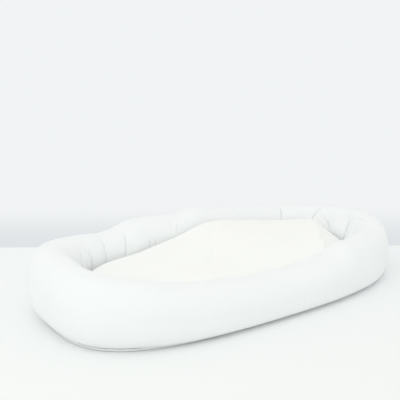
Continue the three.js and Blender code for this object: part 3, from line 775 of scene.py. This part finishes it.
def cut_window(mesh):
    """Turns the cover's cloth in round the zip's opening."""
    bm = bmesh.new()
    bm.from_mesh(mesh)
    for place, across in (
        ((0, -WINDOW_HALF, 0), (0, 1, 0)),
        ((0, WINDOW_HALF, 0), (0, 1, 0)),
        ((0, 0, WINDOW_LOW), (0, 0, 1)),
        ((0, 0, WINDOW_HIGH), (0, 0, 1)),
    ):
        middles = ((f, f.calc_center_median()) for f in bm.faces)
        end = [f for f, middle in middles if middle.x > END_WALL and middle.z < END_TOP]
        near = {g for f in end for g in (f, *f.edges, *f.verts)}
        bmesh.ops.bisect_plane(bm, geom=list(near), plane_co=place, plane_no=across, dist=MERGE_REACH)
    inside = [face for face in bm.faces if in_window(face)]
    count = len(bm.faces)
    made = bmesh.ops.extrude_face_region(bm, geom=inside)
    for vertex in (g for g in made["geom"] if isinstance(g, bmesh.types.BMVert)):
        vertex.co.x = WINDOW_BACK
    # The extrusion numbers the opening's walls differently in each run, so they are put in order.
    in_order = [*bm.faces[:count], *sorted(bm.faces[count:], key=middle_of)]
    rank = {face: number for number, face in enumerate(in_order)}
    bm.faces.sort(key=rank.get)
    bmesh.ops.delete(bm, geom=inside, context="FACES")
    bmesh.ops.recalc_face_normals(bm, faces=bm.faces[:])
    for edge in bm.edges:
        if len(edge.link_faces) == 2 and edge.calc_face_angle() > FOLDED_EDGE:
            edge.smooth = False
    bm.to_mesh(mesh)
    bm.free()


cut_window(pad_cover.data)
print("with its opening the cover has", len(pad_cover.data.polygons), "faces")

# %% [markdown]
# Under the cover the pad has a layer of fibre on a slab of foam, and a cloth underside. All start
# as the same cut cube, so that they share the cover's outline. The fibre and the foam are drawn in
# from the cover, and stop short of the zip, so that nothing is caught in it.

# %% The pad's layers
FIBRE_INSET = 3.4 * MM
SLAB_BOTTOM, SLAB_TOP, SLAB_INSET = 16.7 * MM, 34.7 * MM, 6.3 * MM
UNDER_INSET, UNDER_THICK = 4 * MM, 2 * MM
ZIP_ROOM_HALF, ZIP_ROOM_TOP, ZIP_ROOM_BACK = 80.3 * MM, 39.6 * MM, PAD_HEAD - 13.6 * MM
LAYER_AROUND, LAYER_ACROSS = 62, 30


def clear_of_zip(mesh):
    """Draws a layer's points back from the room behind the zip."""
    points = coordinates(mesh)
    behind = (np.abs(points[:, 1]) < ZIP_ROOM_HALF) & (points[:, 2] < ZIP_ROOM_TOP)
    points[behind, 0] = np.minimum(points[behind, 0], ZIP_ROOM_BACK)
    place_points(mesh, points)


def flat_pad_layer(name, cuts_up, inset, bottom, top):
    """A flat layer with the pad's outline."""
    mesh = mesh_from(cut_cube((LAYER_AROUND, LAYER_ACROSS, cuts_up)), name)
    cube = coordinates(mesh)
    px, py = on_outline(cube[:, 0], cube[:, 1], inset)
    place_points(mesh, np.column_stack([px, py, np.where(cube[:, 2] > 0, top, bottom)]))
    return mesh


pad_fibre = pad_mesh("pad_fibre", (LAYER_AROUND, LAYER_ACROSS, 10), FIBRE_INSET, SLAB_TOP + SEAT)
clear_of_zip(pad_fibre)
pad_fibre = piece("pad_fibre", pad_fibre, "pad", FIBRE_WHITE, ["pad_topper"])

pad_foam = flat_pad_layer("pad_foam", 4, SLAB_INSET, SLAB_BOTTOM, SLAB_TOP)
clear_of_zip(pad_foam)
pad_foam = piece("pad_foam", pad_foam, "pad", FOAM_CREAM, ["pad_slab"])

underside = flat_pad_layer("pad_underside", 1, UNDER_INSET, PAD_BOTTOM, PAD_BOTTOM + UNDER_THICK)
underside = piece("pad_underside", underside, "pad", PAD_WHITE, ["pad_cover_bottom"])
print("fibre, foam and underside are in the pad")

# %% [markdown]
# A thin piped cord covers the seam all the way round the pad. It could be a curve with a round
# section, but the rolled grid already follows an outline and closes by itself, so it is used again
# with a small round section.

# %% The pad's piping
PIPING_INSET, PIPING_HEIGHT, PIPING_RADIUS = 2.2 * MM, 15.9 * MM, 1.5 * MM
OUTLINE_POINTS = 2881
SEAM_AROUND = 720


def around_pad(angle, inset=0.0):
    """The pad's outline at angles round it, drawn in by an inset."""
    c, s = np.cos(angle), np.sin(angle)
    largest = np.maximum(np.abs(c), np.abs(s))
    return np.stack(on_outline(c / largest, s / largest, inset), axis=-1)


def pad_outward(angle):
    """The outline's outward direction at angles round the pad."""
    fine = np.linspace(0, 2 * np.pi, OUTLINE_POINTS)
    ahead = np.gradient(around_pad(fine), axis=0)
    normal = np.stack([ahead[:, 1], -ahead[:, 0]], axis=-1)
    normal /= np.linalg.norm(normal, axis=1, keepdims=True)
    outward = np.stack([np.interp(angle, fine, normal[:, i]) for i in (0, 1)], axis=-1)
    return outward / np.linalg.norm(outward, axis=1, keepdims=True)


def piping_shape(place, angle):
    """Points of the cord round the pad's seam."""
    turn = 2 * np.pi * place
    reach = PIPING_RADIUS * np.cos(angle) - PIPING_INSET
    ground = around_pad(turn) + pad_outward(turn) * reach[:, None]
    return np.column_stack([ground, PIPING_HEIGHT + PIPING_RADIUS * np.sin(angle)])


piping = rolled("pad_piping_cord", SEAM_AROUND, 10, piping_shape)
piece("pad_piping_cord", piping, "pad", PAD_WHITE, ["pad_piping"])
print("the piping has", len(piping.polygons), "faces")

# %% [markdown]
# Inside the ring's cover is loose fibre, made as the same tube, drawn in. The ring is closed below
# by two bindings: a folded tape sewn over the outer seam, with a row of stitches, and a flat one
# where the inner wall meets the nest's floor. Each is a rolled grid with a nearly square section
# that follows the ring's line at its own distance, so that it can't stray from the seam.

# %% The ring's filling and bindings
FILLING_AROUND, FILLING_SECTION, FILLING_INSET = 360, 64, 2.6 * MM
OUTER_BINDING_LIFT, OUTER_BINDING_WIDE, OUTER_BINDING_HIGH = 0.9 * MM, 1.6 * MM, 5.1 * MM
INNER_BINDING_WIDE, INNER_BINDING_HIGH = 6.0 * MM, 1.2 * MM
TAPE_SQUARE = 4.0
SEAM_TUCK = 3 * MM
NEST_FLOOR_TOP = 14.1 * MM


def reach_at(place, height):
    """How far out from the tube's middle its face is at a height."""
    _, _, half_width, half_height = stations(place)
    drop = np.abs(half_height - height) / half_height
    return half_width * (1 - drop ** SECTION_ROUND) ** (1 / SECTION_ROUND)


def panel_reach(place):
    """How far out the base's outer panel goes, tucked in under the cover."""
    return reach_at(place, PANEL_TOP + SEAT) - SEAM_TUCK


def outer_binding_middle(place):
    """How far out the middle of the outer binding lies."""
    return panel_reach(place) + SEAT + OUTER_BINDING_WIDE / 2


def inner_binding_middle(place):
    """How far out the middle of the inner binding lies: below zero, because it is on the inside."""
    wall = reach_at(place, NEST_FLOOR_TOP + SEAT + INNER_BINDING_HIGH)
    return -wall - SEAT - INNER_BINDING_WIDE / 2


def binding(name, section, distance, wide, low, high, stands_for):
    """A tape that follows the ring at a distance from the tube's middle."""

    def shape(place, angle):
        centre, outward, _, _ = stations(place)
        across, up = superellipse(angle, wide / 2, high / 2, TAPE_SQUARE)
        ground = centre + outward * (distance(place) + across)[:, None]
        return np.column_stack([ground, low + high / 2 + up])

    mesh = rolled(name, SEAM_AROUND, section, shape)
    piece(name, mesh, "lounger", BINDING_WHITE, [stands_for])


filling = ring_mesh("ring_filling", FILLING_AROUND, FILLING_SECTION, inset=FILLING_INSET)
filling = piece("ring_filling", filling, "lounger", FIBRE_WHITE, ["bumper_fill"])
binding("outer_binding", 16, outer_binding_middle, OUTER_BINDING_WIDE, OUTER_BINDING_LIFT,
        OUTER_BINDING_HIGH, "outer_seam_binding")
binding("inner_binding", 12, inner_binding_middle, INNER_BINDING_WIDE, NEST_FLOOR_TOP + SEAT,
        INNER_BINDING_HIGH, "inner_seam_binding")
print("the filling has", len(filling.data.polygons), "faces, and both bindings are on")

# %% [markdown]
# The stitches along the outer binding are one small rounded bead each, laid end to end with a gap.
# There are hundreds of them, so each is an icosphere of the fewest faces, stretched and turned
# along the seam.

# %% The binding's stitches
STITCH_PITCH, STITCH_LONG, STITCH_THICK, STITCH_UP = 4.2 * MM, 2.8 * MM, 0.45 * MM, 0.62

count = int((SPINE_LENGTH + 2 * math.pi * SIDE_WIDTH / 2) / STITCH_PITCH)
stitch_places = np.arange(count) / count
centre, outward, _, _ = stations(stitch_places)
out_by = outer_binding_middle(stitch_places) + OUTER_BINDING_WIDE / 2
bm = bmesh.new()
for at, direction, reach in zip(centre, outward, out_by):
    turn = math.atan2(direction[1], direction[0]) + math.pi / 2
    spot = Vector((*(at + direction * reach), OUTER_BINDING_LIFT + STITCH_UP * OUTER_BINDING_HIGH))
    size = Matrix.Diagonal((STITCH_LONG / 2, STITCH_THICK / 2, STITCH_THICK / 2, 1))
    matrix = Matrix.Translation(spot) @ Matrix.Rotation(turn, 4, "Z") @ size
    bmesh.ops.create_icosphere(bm, subdivisions=1, radius=1.0, matrix=matrix)
piece("binding_stitches", mesh_from(bm, "binding_stitches"), "lounger", BINDING_WHITE)
print(count, "stitches")

# %% [markdown]
# The care label is a strip of satin folded in half, with both ends caught in the seam. It is blank.
# A grid's length becomes the way along the strip, out to the fold and back, with a steep curve for
# the fold itself.

# %% The label
LABEL_PLACE, LABEL_LOW = 0.2, 0.97 * MM
LABEL_WIDE, LABEL_LONG, LABEL_GAP = 30 * MM, 17 * MM, 0.45 * MM
LABEL_FOLD, LABEL_PRESSED = 0.03, 0.35

bm = bmesh.new()
bmesh.ops.create_grid(bm, x_segments=48, y_segments=20, size=1.0)
label = mesh_from(bm, "label_tag")
points = coordinates(label)
centre, outward, _, _ = (np.squeeze(v) for v in stations(np.array([LABEL_PLACE])))
start = float(outer_binding_middle(np.array([LABEL_PLACE]))[0]) + OUTER_BINDING_WIDE / 2 + SEAT
bend = np.abs(points[:, 0])
out_by = start + LABEL_LONG * (1 - bend)
layer = np.tanh(points[:, 0] / LABEL_FOLD) * LABEL_GAP / 2 * (1 - LABEL_PRESSED * bend ** 3)
side = points[:, 1] * LABEL_WIDE / 2
beside = np.array([-outward[1], outward[0]])
ground = centre + outward * out_by[:, None] + beside * side[:, None]
place_points(label, np.column_stack([ground, LABEL_LOW + LABEL_GAP / 2 + layer]))
label = piece("label_tag", label, "lounger", LABEL_WHITE, ["care_label"])
print("a label of", round(LABEL_WIDE / MM), "by", round(2 * LABEL_LONG / MM), "mm flat")

# %% [markdown]
# The base has three layers: an outer panel of quilted cloth with an opening for the zip, a layer of
# wadding, and the nest's floor, a cloth stretched from wall to wall. The first two are rings
# between an opening's outline and the base's own outline, so the rolled grid is used again with a
# flat section.

# %% The base's panel and wadding
BASE_ZIP_X = -20 * MM
SLOT_HALF, SLOT_WIDE = 172 * MM, 8.5 * MM
WADDING_GAP_HALF, WADDING_GAP_WIDE = 175.3 * MM, 16.4 * MM
WADDING_LOW, WADDING_HIGH = 6.3 * MM, 12.3 * MM
SLOT_CORNER, LAYER_CORNER = 14.0, 9.0


def wadding_reach(place):
    """How far out the wadding goes: to the ring's inner wall, so below zero too."""
    return -reach_at(place, WADDING_HIGH) - SEAT


def layer_round(name, around, section, distance, hole_half, hole_wide, low, high):
    """A flat padded layer between a slot's outline and an outline that follows the ring."""

    def shape(place, angle):
        centre, outward, _, _ = stations(place)
        outer = centre + outward * distance(place)[:, None]
        turn = np.interp(np.mod(place, 1) * SPINE_LENGTH, trace_length, trace_angles)
        hole_x, hole_y = superellipse(turn, hole_half, hole_wide, SLOT_CORNER)
        inner = np.stack([hole_x + BASE_ZIP_X, hole_y], axis=-1)
        across, up = superellipse(angle, 0.5, (high - low) / 2, LAYER_CORNER)
        ground = inner + (outer - inner) * (0.5 + across)[:, None]
        return np.column_stack([ground, (low + high) / 2 + up])

    return rolled(name, around, section, shape)


panel = layer_round("base_panel_cloth", SEAM_AROUND, 40, panel_reach, SLOT_HALF, SLOT_WIDE, 0.0,
                    PANEL_TOP)
panel = piece("base_panel_cloth", panel, "lounger", QUILT_WHITE, ["base_panel"])
wadding = layer_round("base_wadding_layer", FILLING_AROUND, 32, wadding_reach, WADDING_GAP_HALF,
                      WADDING_GAP_WIDE, WADDING_LOW, WADDING_HIGH)
wadding = piece("base_wadding_layer", wadding, "lounger", FIBRE_WHITE,
                ["base_wadding"])
print("panel and wadding:", len(panel.data.polygons), "and", len(wadding.data.polygons), "faces")

# %% [markdown]
# The nest's floor is a cut cube again, whose square outline is pulled to the line where the inner
# wall stands. It is a stretched sheet, and so is the pad's underside. For both, the area comes
# from the outline's points by the shoelace rule.

# %% The nest's floor
FLOOR_LOW = 12.6 * MM
NEST_CUTS, EDGE_POINTS = (80, 44, 1), 1441


def area_inside(line):
    """The area inside a closed line of points."""
    return float(0.5 * abs(np.sum(line[:-1, 0] * line[1:, 1] - line[1:, 0] * line[:-1, 1])))


nest_floor = mesh_from(cut_cube(NEST_CUTS), "nest_floor")
cube = coordinates(nest_floor)
fine = np.linspace(0, 1, EDGE_POINTS)
centre, outward, _, _ = stations(fine)
edge = centre + outward * (-reach_at(fine, NEST_FLOOR_TOP) - SEAT)[:, None]
nest_length, nest_width = np.ptp(edge[:, 0]), np.ptp(edge[:, 1])
stretch = np.array([nest_length, nest_width]) / 2
edge_turn = np.unwrap(np.arctan2(edge[:, 1] / stretch[1], edge[:, 0] / stretch[0]))
edge_reach = np.hypot(edge[:, 1] / stretch[1], edge[:, 0] / stretch[0])
turn = np.mod(np.arctan2(cube[:, 1], cube[:, 0]), 2 * np.pi)
reach = np.interp(turn, edge_turn, edge_reach) * np.maximum(np.abs(cube[:, 0]), np.abs(cube[:, 1]))
ground = np.column_stack([np.cos(turn) * reach * stretch[0], np.sin(turn) * reach * stretch[1]])
height = np.where(cube[:, 2] > 0, NEST_FLOOR_TOP, FLOOR_LOW)
place_points(nest_floor, np.column_stack([ground, height]))
nest_floor = piece("nest_floor", nest_floor, "lounger", BASE_WHITE, ["floor_panel"])
area_inside(edge)
under_edge = around_pad(2 * np.pi * fine, UNDER_INSET)
area_inside(under_edge)
print("nest floor", round(float(nest_length), 3), "by", round(float(nest_width), 3), "m")

# %% [markdown]
# A zip has three finishes. Its tape is woven with fine ribs, which follow the tape's own map,
# because they have to run along it whichever way it lies. The coil is hard nylon, smoother than any
# cloth, and the slider, the pull and the stops are plated metal, brushed lengthwise and a little
# worn.

# %% The zips' materials
RIB_PITCH, TWILL_PITCH, RIB_RELIEF = 0.9, 1.3, 0.12 * MM
BRUSHED_ALONG_X, BRUSH_RELIEF = (60.0, 1800.0, 1800.0), 0.03 * MM


def woven_tape():
    """White tape with fine ribs along its length. Its map is in millimetres."""
    tree, place = material_tree("zip_tape", "UV")
    x, y, _ = place.parts()
    twill = ((x + y) * (2 * math.pi / TWILL_PITCH)).sine()
    ribs = (y * (2 * math.pi / RIB_PITCH)).sine() + twill * 0.5
    slub = noise_node(tree, place, scale=1.5, detail=2.0)
    colour = mixed(tree, slub, (0.8, 0.82, 0.835, 1), (0.87, 0.885, 0.9, 1))
    relief = bump_node(tree, 0.5, RIB_RELIEF, ribs)
    return surface(tree, {"Base Color": colour, "Roughness": 0.85, "Normal": relief,
                          "Sheen Weight": 0.2})


def nylon():
    """The coil's smooth white nylon."""
    tree, place = material_tree("zip_coil")
    drift = noise_node(tree, place, scale=300.0, detail=2.0)
    colour = mixed(tree, drift, (0.76, 0.78, 0.8, 1), (0.84, 0.855, 0.87, 1))
    rough = tree.node("ShaderNodeMapRange", {}, {"Value": drift, "To Min": 0.32, "To Max": 0.45})
    return surface(tree, {"Base Color": colour, "Roughness": rough})


def brushed_metal():
    """Grey plated metal, a little worn and brushed."""
    tree, place = material_tree("zip_metal")
    long = tree.node("ShaderNodeMapping", {}, {"Vector": place, "Scale": BRUSHED_ALONG_X})
    brush = noise_node(tree, long, scale=1.0, detail=3.0)
    wear = noise_node(tree, place, scale=400.0, detail=4.0)
    colour = mixed(tree, wear, (0.62, 0.64, 0.66, 1), (0.8, 0.81, 0.83, 1))
    rough = tree.node("ShaderNodeMapRange", {}, {"Value": brush, "To Min": 0.25, "To Max": 0.48})
    relief = bump_node(tree, 0.3, BRUSH_RELIEF, brush)
    return surface(tree, {"Base Color": colour, "Metallic": 0.9, "Roughness": rough, "Normal": relief})


TAPE_WHITE, COIL_WHITE, METAL_GREY = woven_tape(), nylon(), brushed_metal()
print("zip finishes:", [m.name for m in (TAPE_WHITE, COIL_WHITE, METAL_GREY)])

# %% [markdown]
# Both zips are alike: two woven tapes, and on the edge of each a coil, which is one nylon thread
# wound into a helix. Rings in a row would look much the same from afar, but a curve with a round
# section winds the real thing in a few lines.

# %% The zips' tapes and coils
ZIP_TAPE_START, ZIP_TAPE_THICK, TAPE_EDGE = 3.1 * MM, 1.0 * MM, 0.25 * MM
COIL_MIDDLE, COIL_WIDE, COIL_HIGH = 1.7 * MM, 2.2 * MM, 2.4 * MM
COIL_PITCH, COIL_THREAD = 1.5 * MM, 0.36 * MM
COIL_STEPS = 12


def tape_mesh(name, half, width, side):
    """A flat tape with softened edges, laid out in millimetres for its weave."""
    bm = bmesh.new()
    middle = side * (ZIP_TAPE_START + width / 2)
    size = Matrix.Diagonal((2 * half, width, ZIP_TAPE_THICK, 1))
    bmesh.ops.create_cube(bm, size=1.0, matrix=Matrix.Translation((0, middle, 0)) @ size)
    bmesh.ops.bevel(bm, geom=bm.edges[:], offset=TAPE_EDGE, offset_type="OFFSET", affect="EDGES",
                    segments=2, profile=0.5, material=-1)
    sheet_uv = bm.loops.layers.uv.new("weave")
    for face in bm.faces:
        for loop in face.loops:
            loop[sheet_uv].uv = (loop.vert.co.x / MM, loop.vert.co.y / MM)
    return mesh_from(bm, name)


def coil_mesh(name, length, side):
    """A thread wound into a helix along X: a curve with a round section, turned into a mesh."""
    turns = round(length / COIL_PITCH) - 1
    t = np.linspace(0, turns, turns * COIL_STEPS + 1)
    curve = bpy.data.curves.new(name, "CURVE")
    curve.dimensions = "3D"
    curve.bevel_depth = COIL_THREAD
    curve.bevel_resolution = 1
    curve.use_fill_caps = True
    thread = curve.splines.new("POLY")
    thread.points.add(len(t) - 1)
    x = (t - turns / 2) * COIL_PITCH
    y = side * COIL_MIDDLE + (COIL_WIDE / 2 - COIL_THREAD) * np.cos(2 * np.pi * t)
    z = (COIL_HIGH / 2 - COIL_THREAD) * np.sin(2 * np.pi * t)
    thread.points.foreach_set("co", np.column_stack([x, y, z, np.ones_like(x)]).ravel())
    holder = bpy.data.objects.new(name, curve)
    mesh = bpy.data.meshes.new_from_object(holder)
    bpy.data.objects.remove(holder)
    bpy.data.curves.remove(curve)
    return merged(mesh, name)


print("a coil turns once in", round(COIL_PITCH / MM, 2), "mm")

# %% [markdown]
# The base's zip lies flat in the panel's opening. The pad's zip stands in the head wall, facing
# outward, so its tapes and coils are made flat too, and a matrix turns and moves their points. The
# sliders, their pulls and the stops keep the packed model's own shapes, which the joints move, with
# a Bevel modifier for softer edges.

# %% The zips in their places
METAL_EDGE = 0.18 * MM
FACING_HEAD = Matrix(((0, 0, -1, 0), (1, 0, 0, 0), (0, -1, 0, 0), (0, 0, 0, 1)))
BASE_ZIP_FRAME = Matrix.Translation((BASE_ZIP_X, 0, 6.8 * MM))
PAD_ZIP_FRAME = Matrix.Translation((PAD_HEAD - 10.7 * MM, 0, 28 * MM)) @ FACING_HEAD
ZIPS = {
    # the body, the coil's length, the tape's half length and width, and the zip's own frame
    "base_zip": ("lounger", 300 * MM, 175 * MM, 13 * MM, BASE_ZIP_FRAME),
    "pad_zip": ("pad", 110 * MM, 80 * MM, 8 * MM, PAD_ZIP_FRAME),
}

for name, (body, length, tape_half, tape_width, frame_of) in ZIPS.items():
    for letter, side in (("a", 1), ("b", -1)):
        tape = tape_mesh(f"{name}_woven_tape_{letter}", tape_half, tape_width, side)
        tape.transform(frame_of)
        piece(tape.name, tape, body, TAPE_WHITE, [f"{name}_tape_{letter}"])
        coil = coil_mesh(f"{name}_wound_coil_{letter}", length, side)
        coil.transform(frame_of)
        piece(coil.name, coil, body, COIL_WHITE, [f"{name}_coil_{letter}"])
    for part in ("slider", "pull", "top_stop", "bottom_stop"):
        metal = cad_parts[f"{name}_{part}"]
        metal.data.materials.clear()
        metal.data.materials.append(METAL_GREY)
        soft_edges = metal.modifiers.new("soft_edges", "BEVEL")
        soft_edges.width = METAL_EDGE
        soft_edges.segments = 2
        soft_edges.limit_method = "ANGLE"
print("zips:", list(ZIPS))

# %% [markdown]
# The studio is a white table top in front of a pale grey sweep. The table's far edge is a straight
# line that passes behind the nest, and beyond it the camera sees only a soft even grey. Two planes
# would need an exact fit at that line, so one large plane is coloured by place. On the near side of
# the line it is a matt white that keeps the nest's shadow. Beyond it the camera sees a plain tone,
# a little darker at the line and close to the nest, where ambient occlusion stands in for the
# shadow.

# %% The floor
FLOOR_SIZE = 60.0
LINE_START, LINE_END, LINE_SOFT = Vector((-0.299, 0.568)), Vector((0.586, -0.027)), 4 * MM
TABLE_NEAR, TABLE_FAR, TABLE_FADE = (0.925, 0.94, 0.935, 1), (0.93, 0.95, 0.965, 1), 0.75
BACKDROP_LOW, BACKDROP_GREY, BACKDROP_FADE = (0.745, 0.775, 0.79, 1), (0.88, 0.898, 0.906, 1), 0.42
DARK_SHARE, DARK_REACH = 0.45, 0.1


def fade(tree, value, low, high, curve="SMOOTHSTEP"):
    """A value turned into a share from 0 to 1 between two limits."""
    limits = {"Value": value, "From Min": low, "From Max": high}
    return tree.node("ShaderNodeMapRange", {"interpolation_type": curve}, limits)


def floor_material():
    """White towards the camera from the line, and grey beyond it."""
    tree, place = material_tree("studio_floor")
    x, y, _ = place.parts()
    along = (LINE_END - LINE_START).normalized()
    away = Vector((-along.y, along.x))
    past = x * away.x + y * away.y - away.dot(LINE_START)
    beyond = fade(tree, past, -LINE_SOFT, LINE_SOFT, "LINEAR")
    backdrop = mixed(tree, fade(tree, past, 0.0, BACKDROP_FADE), BACKDROP_LOW, BACKDROP_GREY)
    white = mixed(tree, fade(tree, past, -TABLE_FADE, 0.0), TABLE_NEAR, TABLE_FAR)
    table = tree.node("ShaderNodeBsdfPrincipled", {}, {"Base Color": white, "Roughness": 0.9,
                                                       "Specular IOR Level": 0.1})
    shaded = tree.node("ShaderNodeAmbientOcclusion", {"samples": 8},
                       {"Color": backdrop, "Distance": DARK_REACH})
    grounded = mixed(tree, DARK_SHARE, backdrop, shaded)
    glow = tree.node("ShaderNodeEmission", {}, {"Color": grounded, "Strength": 1.0})
    seen = tree.node("ShaderNodeLightPath", {}, {}, out="Is Camera Ray")
    return tree.finish(tree.node("ShaderNodeMixShader", {}, {0: beyond * seen, 1: table, 2: glow}))


bm = bmesh.new()
bmesh.ops.create_grid(bm, x_segments=4, y_segments=4, size=FLOOR_SIZE / 2)
floor = bpy.data.objects.new("studio_floor", mesh_from(bm, "studio_floor", smooth=False))
floor.data.materials.append(floor_material())
scene.collection.objects.link(floor)
print("floor of", FLOOR_SIZE, "m")

# %% [markdown]
# The light is soft and almost even, as in a white studio: a bright sky all round gives nearly all
# of it, and two large weak softboxes on the left, one high and one low, add a little direction, so
# that the near side stays bright and darkens slightly as it turns under. One strong lamp would draw
# hard shadows into the folds. Past the floor the camera sees the backdrop's own grey.

# %% The light
SKY_WHITE, SKY_STRENGTH = (0.965, 0.975, 0.955, 1), 0.91
LAMP_TARGET, LAMP_SIZE = (0, 0, 0.05), 2.2

scene.view_settings.view_transform = "Standard"
tree = Tree(bpy.data.worlds.new("studio_world"))
sky = tree.node("ShaderNodeBackground", {}, {"Color": SKY_WHITE, "Strength": SKY_STRENGTH})
backdrop = tree.node("ShaderNodeBackground", {}, {"Color": BACKDROP_GREY})
seen = tree.node("ShaderNodeLightPath", {}, {}, out="Is Camera Ray")
either = tree.node("ShaderNodeMixShader", {}, {0: seen, 1: sky, 2: backdrop})
scene.world = tree.finish(either, "ShaderNodeOutputWorld")


def softbox(name, place, power):
    """A square area lamp that points at the nest."""
    data = bpy.data.lights.new(name, "AREA")
    data.shape = "SQUARE"
    data.size = LAMP_SIZE
    data.energy = power
    lamp = bpy.data.objects.new(name, data)
    lamp.location = place
    lamp.rotation_mode = "QUATERNION"
    lamp.rotation_quaternion = (Vector(place) - Vector(LAMP_TARGET)).to_track_quat("Z", "Y")
    scene.collection.objects.link(lamp)


softbox("high_softbox", (-1.4, -0.6, 2.6), power=7.4)
softbox("low_softbox", (-1.9, -1.5, 1.6), power=6.1)

# %% [markdown]
